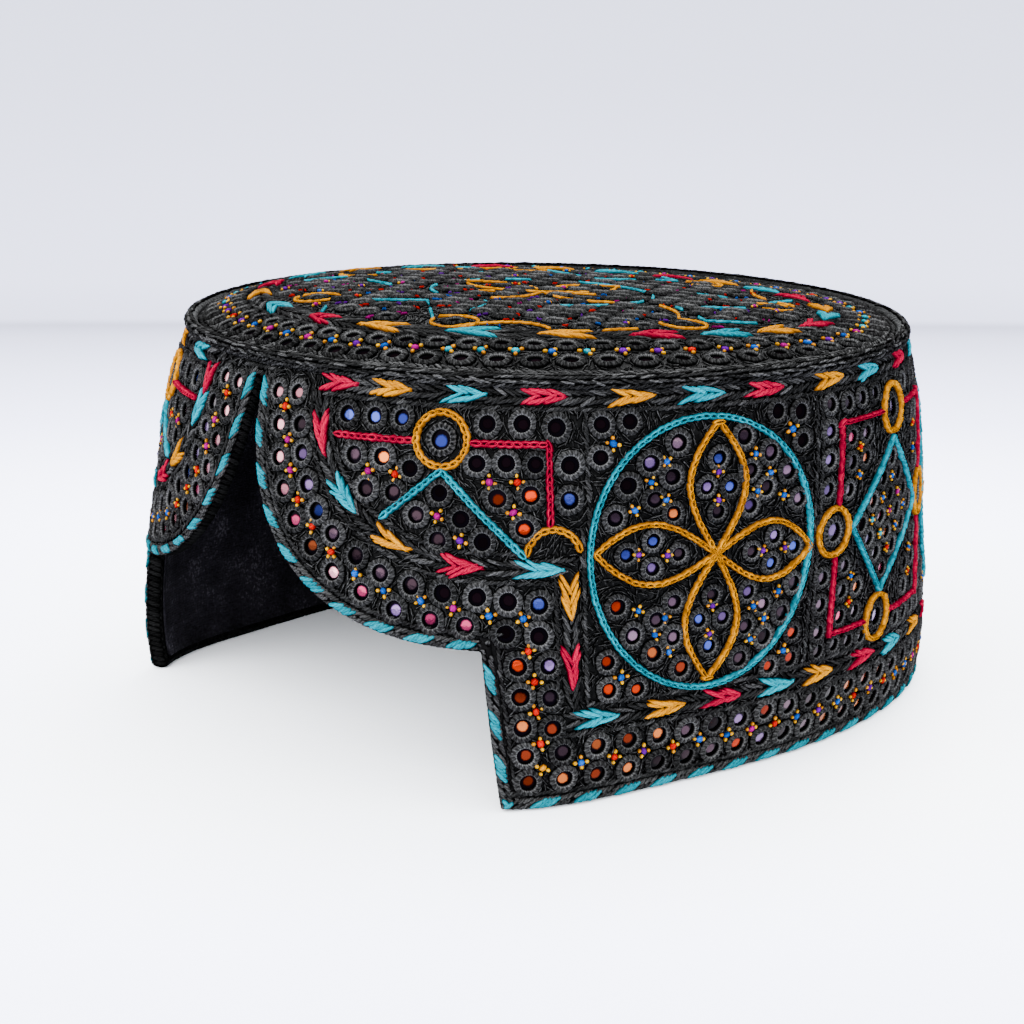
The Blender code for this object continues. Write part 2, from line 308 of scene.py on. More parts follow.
def stamp(chart, template, rows):
    """Points, triangles, texture places, tones and painted light shares of a template copied to each place on
    a chart.

    The painted light share is 0 where a thread sinks into the cloth, painted shade, and 1 on its top, a
    painted highlight.
    """
    points, triangles, texture, painted_light = template
    u, v, turn, length, width, height, lift = rows[:, :, None]
    axes = chart_axes(chart, u[:, 0], v[:, 0])
    x = points[:, 0] * length
    y = points[:, 1] * width
    z = points[:, 2] * height + lift
    cos, sin = np.cos(turn), np.sin(turn)
    du, dv = chart_step(axes, x * cos - y * sin, x * sin + y * cos)
    placed = chart(u + du, v + dv) + (z * MM)[..., None] * axes[-1][:, None, :]
    count, size = placed.shape[:2]
    faces = triangles[None] + (np.arange(count) * size)[:, None, None]
    texture = texture[None] * np.stack([length, width], axis=-1)
    texture = texture + random.uniform(0, 50, (count, 1, 2))
    tone = np.repeat(random.uniform(0, 1, count), size)
    return placed.reshape(-1, 3), faces.reshape(-1, 3), texture.reshape(-1, 2), tone, np.tile(painted_light, count)


def add_mesh(name, points, faces, material, slot, nodes=(), texture=None, tone=None, painted_light=None):
    """A smooth mesh object that rides on the cap and stands for the given nodes."""
    points = np.asarray(points, dtype=np.float32)
    faces = np.asarray(faces, dtype=np.int32)
    mesh = bpy.data.meshes.new(name)
    mesh.vertices.add(len(points))
    mesh.vertices.foreach_set("co", points.ravel())
    mesh.loops.add(faces.size)
    mesh.loops.foreach_set("vertex_index", faces.ravel())
    mesh.polygons.add(len(faces))
    mesh.polygons.foreach_set("loop_start", np.arange(0, faces.size, faces.shape[1], dtype=np.int32))
    mesh.polygons.foreach_set("use_smooth", np.ones(len(faces), dtype=bool))
    if texture is not None:
        layer = mesh.uv_layers.new(name="thread")
        layer.data.foreach_set("uv", np.asarray(texture, dtype=np.float32)[faces.ravel()].ravel())
        # Each point keeps a random tone and its painted light share: painted shade where a thread sinks in,
        # painted highlight on its top
        for label, values in (("tone", tone), ("painted_light", painted_light)):
            mesh.attributes.new(label, "FLOAT", "POINT").data.foreach_set("value", values.astype(np.float32))
    mesh.update(calc_edges=True)
    mesh.materials.append(material)
    piece = bpy.data.objects.new(name, mesh)
    bpy.context.scene.collection.objects.link(piece)
    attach(piece, "root")
    if nodes:
        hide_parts(*nodes)


def add_stamps(name, material, slot, groups, nodes=()):
    """One piece from several groups, each a chart, a template and its places."""
    parts = []
    count = 0
    for group in groups:
        points, faces, *rest = stamp(*group)
        parts.append((points, faces + count, *rest))
        count += len(points)
    points, faces, *rest = (np.concatenate(part) for part in zip(*parts))
    add_mesh(name, points, faces, material, slot, nodes, *rest)


def grid_faces(columns, rows, closed=False, tube=False):
    """Quads of a grid whose points run row by row within each column, facing the chart's outside.

    A closed grid joins its last column to its first, and a tube its last row to its first.
    """
    c, r = np.meshgrid(np.arange(columns if closed else columns - 1), np.arange(rows if tube else rows - 1),
                       indexing="ij")
    after, above = (c + 1) % columns, (r + 1) % rows
    quads = np.stack([c * rows + r, after * rows + r, after * rows + above, c * rows + above], axis=-1)
    return quads.reshape(-1, 4)


def as_triangles(quads):
    """Each quad as two triangles."""
    return np.concatenate([quads[:, [0, 1, 2]], quads[:, [0, 2, 3]]])


# Templates: points in x along, y across and z out, with their triangles, texture places and painted light
# shares, from painted shade at a thread's foot to a painted highlight on its top


def spindle(stations, sides):
    """A stitch of unit size: thickest in its middle and pointed at both ends, with an open foot."""
    around = np.linspace(0, math.pi, sides + 1)
    points = [(-0.5, 0, 0)]
    for x, thick in stations:
        points += [(x, -math.cos(a) * thick / 2, math.sin(a) * thick) for a in around]
    points = np.array(points + [(0.5, 0, 0)])
    k = 1 + np.arange(sides)
    last = len(points) - 1
    faces = np.concatenate([np.stack([k, k + 1, 0 * k], axis=-1),
                            as_triangles(grid_faces(len(stations), sides + 1)) + 1,
                            np.stack([0 * k + last, last - sides - 1 + k, last - sides - 2 + k], axis=-1)])
    texture = np.stack([points[:, 0], points[:, 1] + points[:, 2]], axis=-1)
    # Painted light: painted shade at the open foot, half shade at both ends, a painted highlight along the
    # top
    painted_light = np.concatenate([[0.3], np.tile(np.abs(np.sin(around)) ** 0.7, len(stations)), [0.3]])
    return points, faces, texture, painted_light


def stitch_loop(sides, length, reach, thread):
    """One link of chain stitch, in millimetres: a drop-shaped loop of thread, narrow where it starts."""
    turn = np.arange(sides) * ROUND / sides
    x = length / 2 * np.cos(turn)
    y = reach * np.sin(turn) * (0.82 + 0.25 * np.cos(turn))
    normal = np.stack([np.cos(turn), np.sin(turn)], axis=-1)
    line = np.stack([x, y], axis=-1)
    lean = 0.2 * (x / length + 0.5)
    points, texture = [], []
    for offset, z, leaning in ((thread * 0.58, 0.0, 0), (0.0, thread * 0.95, 1), (-thread * 0.5, 0.05, 0)):
        points.append(np.column_stack([line + offset * normal, z + leaning * lean]))
        texture.append(np.column_stack([turn * reach, np.full(sides, offset + z)]))
    points = np.stack(points, axis=1).reshape(-1, 3)
    faces = as_triangles(grid_faces(sides, 3, closed=True))
    # Painted light of the three rows: the outer foot half shaded, the top a painted highlight, the inner foot
    # painted shade that darkens the loop's hole
    return points, faces, np.stack(texture, axis=1).reshape(-1, 2), np.tile([0.3, 1.0, 0.0], sides)


def stitched_ring(stitches, profile, wobble):
    """Ring of radial blanket stitches round a mirror, in millimetres; profile rows are radius, height,
    painted light share and how deep the gaps between stitches are. The painted light share gives painted
    shade at the feet and in the gaps between stitches and a painted highlight on the top."""
    count = stitches * 2
    turn = np.arange(count) * ROUND / count
    ridge = np.where(np.arange(count) % 2, 1.0, -1.0)
    uneven = 0.035 * np.sin(2 * turn + wobble) + 0.025 * np.sin(5 * turn + 2.3 * wobble)
    columns, painted_lights = [], []
    for k, (radius, height, painted_light, gap) in enumerate(profile):
        ripple, share = (0.02, 0.5) if k > len(profile) - 3 else (0.07, 1.0)
        r = (radius + ripple * ridge) * (1 + share * uneven)
        z = height * (1 + 0.08 * np.sin(3 * turn + wobble)) + 0.22 * gap * ridge
        columns.append(np.stack([r * np.cos(turn), r * np.sin(turn), z], axis=-1))
        # Painted shade in the gaps between stitches
        painted_lights.append(painted_light * (1 - gap + gap * ridge))
    points = np.stack(columns, axis=1).reshape(-1, 3)
    faces = as_triangles(grid_faces(count, len(profile), closed=True))
    texture = np.stack([np.hypot(points[:, 0], points[:, 1]), np.repeat(turn, len(profile)) * 3], axis=-1)
    return points, faces, texture, np.clip(np.stack(painted_lights, axis=1).ravel(), 0, 1)


def dome(sides, rows):
    """A small dome: rows of radius, height, shift aside and painted light share for its middle point and its
    two rings; the share goes from a painted highlight on top to painted shade at the foot.
    """
    turn = np.arange(sides) * ROUND / sides
    points, painted_lights = [], []
    for radius, height, aside, painted_light in rows:
        here = turn if radius else turn[:1]
        level = np.full(len(here), height)
        points.append(np.stack([aside + radius * np.cos(here), radius * np.sin(here), level], axis=-1))
        painted_lights.append(np.full(len(here), painted_light))
    points = np.concatenate(points)
    inner = 1 + np.arange(sides)
    after = 1 + (np.arange(sides) + 1) % sides
    ring = as_triangles(np.stack([inner, inner + sides, after + sides, after], axis=-1))
    faces = np.concatenate([np.stack([0 * inner, inner, after], axis=-1), ring])
    return points, faces, points[:, :2] + points[:, 2:], np.concatenate(painted_lights)


def mirror_disc(sides, radius, height, lift=0.10):
    """A round mirror with a slightly domed face, whose painted light share falls from a place aside to
    nothing at its rim: painted shade from the ring's hole, heavier on one side.
    """
    aside = 0.13 * radius
    return dome(sides, ((0.0, lift + height, aside, 1.0), (0.6 * radius, lift + 0.7 * height, aside, 0.4),
                        (radius, lift, 0.0, 0.0)))


# Rows of radius, height, painted light share and depth of the gaps between stitches; the light share is
# painted shade at the feet and a painted highlight on the tops, brightest on the inner rim, and the gaps are
# also painted darker
WALL_PROFILE = ((3.48, 0.0, 0.0, 0.0), (3.24, 0.66, 0.72, 0.08), (2.86, 1.04, 0.76, 0.15),
                (2.42, 1.06, 0.74, 0.17), (2.04, 0.90, 1.0, 0.05), (1.84, 0.10, 0.0, 0.0))
CROWN_PROFILE = ((3.40, 0.0, 0.0, 0.0), (3.12, 0.60, 0.62, 0.06), (2.66, 0.95, 0.70, 0.14),
                 (2.18, 0.95, 0.72, 0.14), (1.88, 0.82, 1.0, 0.03), (1.64, 0.10, 0.0, 0.0))
BIG_PROFILE = ((4.15, 0.0, 0.0, 0.0), (3.90, 0.70, 0.86, 0.10), (3.45, 1.10, 0.78, 0.24),
               (2.95, 1.12, 0.76, 0.24), (2.50, 0.96, 1.0, 0.06), (2.26, 0.10, 0.0, 0.0))
THREAD = spindle(((-0.32, 0.78), (0.0, 1.0), (0.34, 0.75)), 3)
THREAD_FINE = spindle(((-0.25, 0.85), (0.25, 0.85)), 2)
LINK = stitch_loop(8, 2.45, 0.5, 0.84)
WOBBLES = (0.0, 2.1, 4.0)
RINGS = {"wall": [stitched_ring(14, WALL_PROFILE, wobble) for wobble in WOBBLES],
         "crown": [stitched_ring(12, CROWN_PROFILE, wobble) for wobble in WOBBLES]}
BIG_RING = stitched_ring(17, BIG_PROFILE, 1.0)
MIRROR = mirror_disc(10, 1.86, 0.07)
BIG_MIRROR = mirror_disc(14, 2.28, 0.08)
# Knot: a painted highlight on its top fading to painted shade at its foot
KNOT = dome(6, ((0.0, 1.0, 0.0, 1.0), (0.75, 0.75, 0.0, 0.8), (1.0, 0.1, 0.0, 0.1)))


class Material:
    """A Principled material whose colour and relief come from procedural nodes."""

    def __init__(self, name, roughness, gloss=0.0, metal=0.0):
        self.data = bpy.data.materials.new(name)
        self.data.use_nodes = True
        self.tree = self.data.node_tree
        self.shader = self.tree.nodes["Principled BSDF"]
        self.set(self.shader, {"Roughness": roughness, "Specular IOR Level": gloss, "Metallic": metal})

    def set(self, node, inputs):
        """Give each input its value, or link it to another node's output."""
        for socket, value in inputs.items():
            if isinstance(value, bpy.types.NodeSocket):
                self.tree.links.new(value, node.inputs[socket])
            else:
                node.inputs[socket].default_value = value

    def add(self, kind, output, inputs, **settings):
        """Add a node and return one of its outputs."""
        node = self.tree.nodes.new(f"ShaderNode{kind}")
        for setting, value in settings.items():
            setattr(node, setting, value)
        self.set(node, inputs)
        return node.outputs[output]

    def calc(self, operation, *values):
        """Output of a Math node."""
        return self.add("Math", "Value", dict(enumerate(values)), operation=operation)

    def attribute(self, name):
        """A value that each point of the mesh carries."""
        return self.add("Attribute", "Fac", {}, attribute_name=name)

    def noise(self, place, scale, detail, roughness=0.5, output="Fac"):
        """Soft random clouds."""
        return self.add("TexNoise", output, {"Vector": place, "Scale": scale, "Detail": detail,
                                             "Roughness": roughness})

    def wave(self, place, scale, distortion, direction="X", detail_scale=1.0):
        """Soft bands, bent by clouds."""
        inputs = {"Vector": place, "Scale": scale, "Distortion": distortion, "Detail Scale": detail_scale}
        return self.add("TexWave", "Fac", inputs, bands_direction=direction)

    def colour(self, shade, stops):
        """Base colour from a ramp of rows of place and colour."""
        ramp = self.tree.nodes.new("ShaderNodeValToRGB")
        elements = ramp.color_ramp.elements
        while len(elements) < len(stops):
            elements.new(0.5)
        for element, (place, colour) in zip(elements, stops):
            element.position = place
            element.color = (*colour, 1)
        self.set(ramp, {"Fac": shade})
        self.set(self.shader, {"Base Color": ramp.outputs["Color"]})

    def relief(self, height, strength, depth):
        """Fine unevenness of the surface; its depth is in metres."""
        normal = self.add("Bump", "Normal", {"Height": height, "Strength": strength, "Distance": depth})
        self.set(self.shader, {"Normal": normal})


def thread_material(name, stops, bump=0.6):
    """Twisted cotton: fibres and plies along the thread and a tone for each stitch, with painted light:
    painted shade where the thread sinks in, a painted highlight on its top, and lighter fibre streaks that
    are partly the thread's own pattern and partly painted highlights.
    """
    material = Material(name, roughness=0.45)
    place = material.add("UVMap", "UV", {}, uv_map="thread")
    tilted = material.add("Mapping", "Vector", {"Vector": place, "Rotation": (0, 0, math.radians(62))})
    plies = material.wave(tilted, 0.5, 2.5, detail_scale=3.0)
    stretched = material.add("Mapping", "Vector", {"Vector": place, "Scale": (0.5, 3.2, 1)})
    fibre = material.noise(stretched, 2.2, 4.0, 0.6)
    strand = material.calc("MULTIPLY_ADD", fibre, 1.5, -0.15)
    strand = material.calc("MULTIPLY_ADD", plies, 0.28, strand)
    each = material.calc("MULTIPLY_ADD", material.attribute("tone"), 0.4, 0.72)
    # Painted shade where each thread sinks in and a painted highlight on its top, from the per-point light
    # share
    steep_painted_light = material.calc("POWER", material.attribute("painted_light"), 1.6)
    material.colour(material.calc("MULTIPLY", material.calc("MULTIPLY", strand, each), steep_painted_light), stops)
    material.relief(material.calc("ADD", plies, fibre), bump, 0.00015)
    return material.data


def mirror_material(name, dark, light, metal=0.85):
    """Tinted mirror: a bright foil under uneven glass, with a tone of its own for each mirror, fading through
    its dark colour to black towards the rim, painted shade from the ring's hole.
    """
    material = Material(name, roughness=0.12, metal=metal)
    cloud = material.noise(material.add("TexCoord", "Object", {}), 650.0, 2.0)
    wavy = material.calc("MULTIPLY_ADD", cloud, 0.3, -0.15)
    inside = material.calc("ADD", material.attribute("painted_light"), wavy)
    rim_shade_fade = material.add("MapRange", "Result", {"Value": inside, "From Min": 0.27, "From Max": 0.50},
                        interpolation_type="SMOOTHSTEP")
    tone = material.calc("MULTIPLY_ADD", material.attribute("tone"), 0.75, 0.25)
    # Black of the painted shade at each mirror's rim
    black = (0.0006, 0.0004, 0.0008)
    material.colour(material.calc("MULTIPLY", tone, rim_shade_fade), ((0.0, black), (0.3, dark), (0.95, light)))
    material.relief(cloud, 0.3, 0.0002)
    return material.data


def stitched_cloth_material(name):
    """Cloth under dense dark stitching: short winding threads, near black between them as painted shade, with
    thin light edges as painted highlights.
    """
    material = Material(name, roughness=0.6, gloss=0.02)
    place = material.add("TexCoord", "Object", {})
    drift = material.noise(place, 260.0, 1.0, output="Color")
    bend = material.add("VectorMath", "Vector", {0: drift, 1: (0.006, 0.006, 0.006), 2: place},
                        operation="MULTIPLY_ADD")
    threads = material.wave(bend, 200.0, 3.0, "DIAGONAL")
    shade = material.calc("MULTIPLY", threads, material.noise(place, 1500.0, 3.0))
    material.colour(shade, grey((0.0, 0.0001), (0.45, 0.0010), (0.72, 0.009)))
    material.relief(shade, 0.9, 0.0005)
    return material.data


def lining_material(name):
    """Plain matt woven cloth with faint specks of lint."""
    material = Material(name, roughness=0.85, gloss=0.02)
    place = material.add("TexCoord", "Object", {})
    weave = material.calc("MULTIPLY", *(material.wave(place, 450.0, 1.0, axis) for axis in "XZ"))
    cloud = material.noise(place, 90.0, 6.0)
    lint = material.noise(place, 1300.0, 2.0)
    material.colour(material.calc("MULTIPLY", cloud, lint), (
        (0.10, (0.0008, 0.0007, 0.0010)), (0.32, (0.0065, 0.0060, 0.0080)), (0.46, (0.030, 0.028, 0.034))))
    material.relief(material.calc("MULTIPLY_ADD", weave, 0.4, cloud), 0.5, 0.0006)
    return material.data


def bright(sunk_shade, middle, light):
    """Ramp stops of a coloured thread: painted shade where it sinks in, its middle colour, and a painted
    highlight on its top.
    """
    return (0.0, sunk_shade), (0.16, tuple(0.25 * c for c in middle)), (0.45, middle), (0.85, light)


def grey(*rows):
    """Ramp stops of a grey thread from rows of place and paleness."""
    return tuple((place, (paleness, paleness, paleness)) for place, paleness in rows)


def dimmed(stops, share):
    """The same ramp with less light in it."""
    return tuple((place, tuple(share * c for c in colour)) for place, colour in stops)


# Grey threads: the lowest stops are painted shade where a thread sinks in, the highest painted highlights on
# its top and on its lighter fibre streaks
DARK_THREAD = grey((0.0, 0.0001), (0.27, 0.0008), (0.46, 0.006), (0.66, 0.017), (0.90, 0.030))
GREY_THREAD = grey((0.0, 0.0001), (0.26, 0.0007), (0.44, 0.007), (0.64, 0.022), (0.90, 0.048))
RING_THREAD = grey((0.0, 0.0001), (0.18, 0.0008), (0.36, 0.009), (0.58, 0.027), (0.85, 0.057))
BRIGHT_THREADS = {
    "turquoise": bright((0, 0.001, 0.0015), (0, 0.074, 0.096), (0, 0.155, 0.195)),
    "orange": bright((0.004, 0.0005, 0), (0.16, 0.055, 0), (0.31, 0.13, 0)),
    "red": bright((0.003, 0, 0), (0.095, 0.0003, 0.0082), (0.22, 0.001, 0.019)),
    "yellow": bright((0.01, 0.003, 0), (0.18, 0.08, 0), (0.33, 0.18, 0.001)),
    "purple": bright((0.001, 0, 0.002), (0.024, 0, 0.058), (0.06, 0.002, 0.14)),
    "magenta": bright((0.002, 0, 0.001), (0.075, 0, 0.035), (0.16, 0, 0.09)),
    "blue": bright((0, 0.0005, 0.002), (0.0005, 0.018, 0.095), (0.002, 0.045, 0.21)),
    "scarlet": bright((0.004, 0, 0), (0.12, 0.0005, 0.0), (0.25, 0.004, 0.001)),
}
# The crown catches more light, so its bright threads are dimmed by these shares, and knot colours more
CROWN_SHARES = {"turquoise": 0.85, "orange": 0.85, "red": 0.8}
KNOT_SHARE = 0.6
THREADS = {"wall": {
    "black": thread_material("black_thread", DARK_THREAD, bump=0.9),
    "charcoal": thread_material("charcoal_thread", GREY_THREAD, bump=0.9),
    "ink": thread_material("ink_thread", dimmed(DARK_THREAD, 0.38), bump=0.9),
    "ring": thread_material("ring_thread", RING_THREAD, bump=1.0),
    **{name: thread_material(f"{name}_thread", stops) for name, stops in BRIGHT_THREADS.items()},
}}
THREADS["crown"] = {
    **THREADS["wall"],
    **{name: thread_material(f"crown_{name}_thread", dimmed(stops, CROWN_SHARES.get(name, KNOT_SHARE)))
       for name, stops in BRIGHT_THREADS.items()},
}
SATIN_THREAD = thread_material("satin_thread", dimmed(BRIGHT_THREADS["turquoise"], 0.72))
# Wraps on the binding's sides: a far darker copy of the black thread, painted shade that keeps their lit tops
# from showing
WRAP_SHADE_THREAD = thread_material("wrap_shade_thread", dimmed(DARK_THREAD, 0.14), bump=0.5)
# Dark and light colour of each mirror's foil; the dark mirrors aren't metal
TINTS = {
    "blue": ((0.004, 0.006, 0.036), (0.022, 0.032, 0.135)),
    "lilac": ((0.018, 0.010, 0.030), (0.11, 0.066, 0.145)),
    "pink": ((0.16, 0.055, 0.068), (0.48, 0.21, 0.23)),
    "ash": ((0.012, 0.007, 0.010), (0.075, 0.044, 0.060)),
    "rose": ((0.05, 0.004, 0.015), (0.28, 0.028, 0.07)),
    "peach": ((0.07, 0.014, 0.004), (0.31, 0.075, 0.014)),
    "orange": ((0.07, 0.004, 0.0), (0.22, 0.012, 0.0)),
    "rust": ((0.014, 0.0012, 0.0), (0.07, 0.009, 0.003)),
    "mauve": ((0.003, 0.0016, 0.0022), (0.015, 0.009, 0.012)),
    "dark": ((0.0004, 0.0002, 0.0003), (0.0016, 0.0007, 0.0012), 0.0),
}
MIRRORS = {name: mirror_material(f"{name}_mirror", *tint) for name, tint in TINTS.items()}
CLOTH_MATERIAL = stitched_cloth_material("black_cloth")
LINING_MATERIAL = lining_material("black_lining")

# What is laid: for each piece's name, its groups of chart, template and places, and where rings and bands are
laid = {}
ring_spots = {"wall": [], "crown": []}
band_spots = {"wall": [], "crown": []}


def lay(name, chart, template, rows):
    """Add a group to the piece of that name."""
    if rows.shape[1]:
        laid.setdefault(name, []).append((chart, template, rows))


def sew(surface, colour, template, rows):
    """Add stitches of one colour."""
    lay(f"{colour}_stitches_{surface}", CHARTS[surface], template, rows)


def both_sides(u, mirrored=True):
    """The sides on which a place of the +s side is laid; one on the back middle stays single."""
    return (1, -1) if mirrored and abs(u) < HALF_ROUND - 0.5 else (1,)


def set_mirror(surface, u, v, tint, size=1.0, big=False, turn=None, flat=1.0):
    """A mirror and its stitched ring, flattened across its turn."""
    turn = random.uniform(0, ROUND) if turn is None else turn
    rows = places(u, v, turn, size, size * flat, size ** 0.5 * (1.15 if surface == "crown" else 1))
    ring = BIG_RING if big else RINGS[surface][random.integers(3)]
    lay(f"mirror_rings_{surface}", CHARTS[surface], ring, rows)
    lay(f"{tint}_mirrors", CHARTS[surface], BIG_MIRROR if big else MIRROR, rows)
    ring_spots[surface].append((u, v, (4.3 if big else 3.35) * size))


# How far mirrors and knots lie from their places by chance
MIRROR_SHIFT = 0.12
KNOT_SHIFT = 0.15
KNOT_LIFT = 0.35
PETAL_COLOURS = ("yellow", "orange", "yellow", "yellow", "orange")
MISSING_PETALS = 0.05


def cycled(spots, names, *rest):
    """Rows of place, name and the rest, with the names in turn."""
    return [(*spot, names[k % len(names)], *rest) for k, spot in enumerate(spots)]


def set_mirrors(surface, rows, mirrored=True):
    """Mirrors from rows of place, tint and size."""
    for u, v, tint, size in rows:
        for side in both_sides(u, mirrored):
            shift = random.normal(0, MIRROR_SHIFT, 2)
            set_mirror(surface, side * u + shift[0], v + shift[1], tint, size)


def set_knots(surface, rows, mirrored=True, size=1.0, petals=4):
    """Flower knots from rows of place and the middle's colour."""
    for u, v, colour in rows:
        for side in both_sides(u, mirrored):
            place = side * u + random.normal(0, KNOT_SHIFT), v + random.normal(0, KNOT_SHIFT)
            set_knot(surface, *place, colour, size, petals)


def set_knot(surface, u, v, colour, size, petals):
    """One flower knot: a middle and small dots round it, of which a few are missing."""
    chart = CHARTS[surface]
    middle = places(u, v, random.uniform(0, 3), random.normal(1.04, 0.07) * size,
                    random.normal(0.94, 0.07) * size, 0.9, KNOT_LIFT)
    lay(f"{colour}_knots", chart, KNOT, middle)
    first = random.normal(QUARTER, 0.25)
    for k in range(petals):
        if random.uniform() < MISSING_PETALS:
            continue
        angle = first + k * ROUND / petals + random.normal(0, 0.14)
        reach = random.normal(1.32, 0.09) * size
        petal_colour = random.choice(PETAL_COLOURS)
        x, y = u + reach * math.cos(angle), v + reach * math.sin(angle)
        length, width = random.uniform(0.48, 0.64) * size, random.uniform(0.42, 0.56) * size
        lay(f"{petal_colour}_knots", chart, KNOT, places(x, y, angle, length, width, 0.75, KNOT_LIFT))


def dense(path, step=0.4):
    """The path with points every step or less."""
    path = np.asarray(path, dtype=float)
    parts = []
    for a, b in zip(path[:-1], path[1:]):
        count = max(1, int(np.hypot(*(b - a)) / step))
        parts.append(a + (b - a) * (np.arange(count) / count)[:, None])
    return np.concatenate(parts + [path[-1:]])


def walk(chart, path, pitch):
    """Places u, v and turns at an even pitch, in true millimetres, along a path on a chart."""
    path = dense(path)
    distance = walked(chart(*path.T) / MM)
    count = max(1, round(distance[-1] / pitch))
    at = (np.arange(count) + 0.5) * distance[-1] / count
    u, v = (np.interp(at, distance, column) for column in path.T)
    before, after = np.maximum(at - 0.5, 0), np.minimum(at + 0.5, distance[-1])
    du, dv = (np.interp(after, distance, column) - np.interp(before, distance, column) for column in path.T)
    return u, v, turn_on(chart, u, v, du, dv), at


def sew_chain(surface, colour, path, side=1, width=1.0, height=1.25, lift=0.35):
    """A line of chain stitch."""
    u, v, turn, _ = walk(CHARTS[surface], np.asarray(path) * (side, 1), 1.75)
    sew(surface, colour, LINK, shaken(places(u, v, turn, 1.0, width, height, lift), 0.05, 0.04, 0.03))


def sew_cord(surface, path, side=1, width=1.1, height=0.8):
    """A dark twisted line: short strands that all slant the same way across it."""
    u, v, turn, _ = walk(CHARTS[surface], np.asarray(path) * (side, 1), 1.5)
    for colour, part in split(len(u), 0.7, "ink", "black"):
        strands = places(u[part], v[part], turn[part] + 0.34, 3.2, width, height)
        sew(surface, colour, THREAD, shaken(strands, 0.08, 0.1, 0.06))


LEAF_PITCH = 1.7
LEAF_SLANT = math.radians(22)
ARROW_REACH = 3.4
LEAF_GROUND = ("ink", "ink", "ink", "black", "ink", "ink", "black", "charcoal")


def sew_leaves(surface, path, arrows, reach=1.0):
    """A band of slanted stitch pairs whose points look along the path; arrows are rows of a place's
    distance along the path and a colour, and colour the pairs round that place."""
    chart = CHARTS[surface]
    u, v, turn, at = walk(chart, path, LEAF_PITCH)
    band_spots[surface] += list(zip(u, v))
    groups = {colour: [] for colour in THREADS["wall"]}
    for k in range(len(at)):
        colour, place = None, 0.0
        for middle, name in arrows:
            if abs(at[k] - middle) < ARROW_REACH:
                colour, place = name, (at[k] - middle) / ARROW_REACH
        for side in (1, -1):
            slant = random.normal(LEAF_SLANT, 0.07)
            if colour:
                tip = max(place, 0)
                row = (turn[k] - side * slant * (1 - 0.35 * tip), random.normal(6.2, 0.5), 1.3, 1.15, 0.28,
                       side * (0.92 - 0.4 * tip) * reach)
            else:
                row = (turn[k] - side * slant, random.normal(5.2, 0.4), 1.2, 0.8, 0.05, side * 0.95 * reach)
            groups[colour or random.choice(LEAF_GROUND)].append((u[k], v[k], turn[k], *row))
    for colour, rows in groups.items():
        if rows:
            u0, v0, path_turn, turns, length, width, height, lift, offset = np.array(rows).T
            spots = beside(chart, u0, v0, path_turn, offset)
            strands = places(*spots, turns, length * reach, width, height, lift)
            sew(surface, colour, THREAD, shaken(strands, 0.07, 0.07, 0.12))


def circle(u, v, radius_u, radius_v, start=0.0, end=360.0, steps=48):
    """Points of an arc of an ellipse, in degrees from the chart's first direction."""
    angle = np.radians(np.linspace(start, end, steps + 1))
    return np.stack([u + radius_u * np.cos(angle), v + radius_v * np.sin(angle)], axis=-1)


def turned(points, degrees):
    """Points turned about the origin."""
    cos, sin = math.cos(math.radians(degrees)), math.sin(math.radians(degrees))
    return np.asarray(points) @ np.array([[cos, sin], [-sin, cos]])


# The wall's panels, from the front to the back: lobe, medallion, square, medallion, square
PANEL_PITCH = 60.0
PANEL_H = 53.5
SQUARE_MIDDLES = (HALF_ROUND - 2 * PANEL_PITCH, HALF_ROUND)
MEDALLION_MIDDLES = (HALF_ROUND - 3 * PANEL_PITCH, HALF_ROUND - PANEL_PITCH)
TOP_BAND_H = 88.7
LOW_BAND_H = 19.6

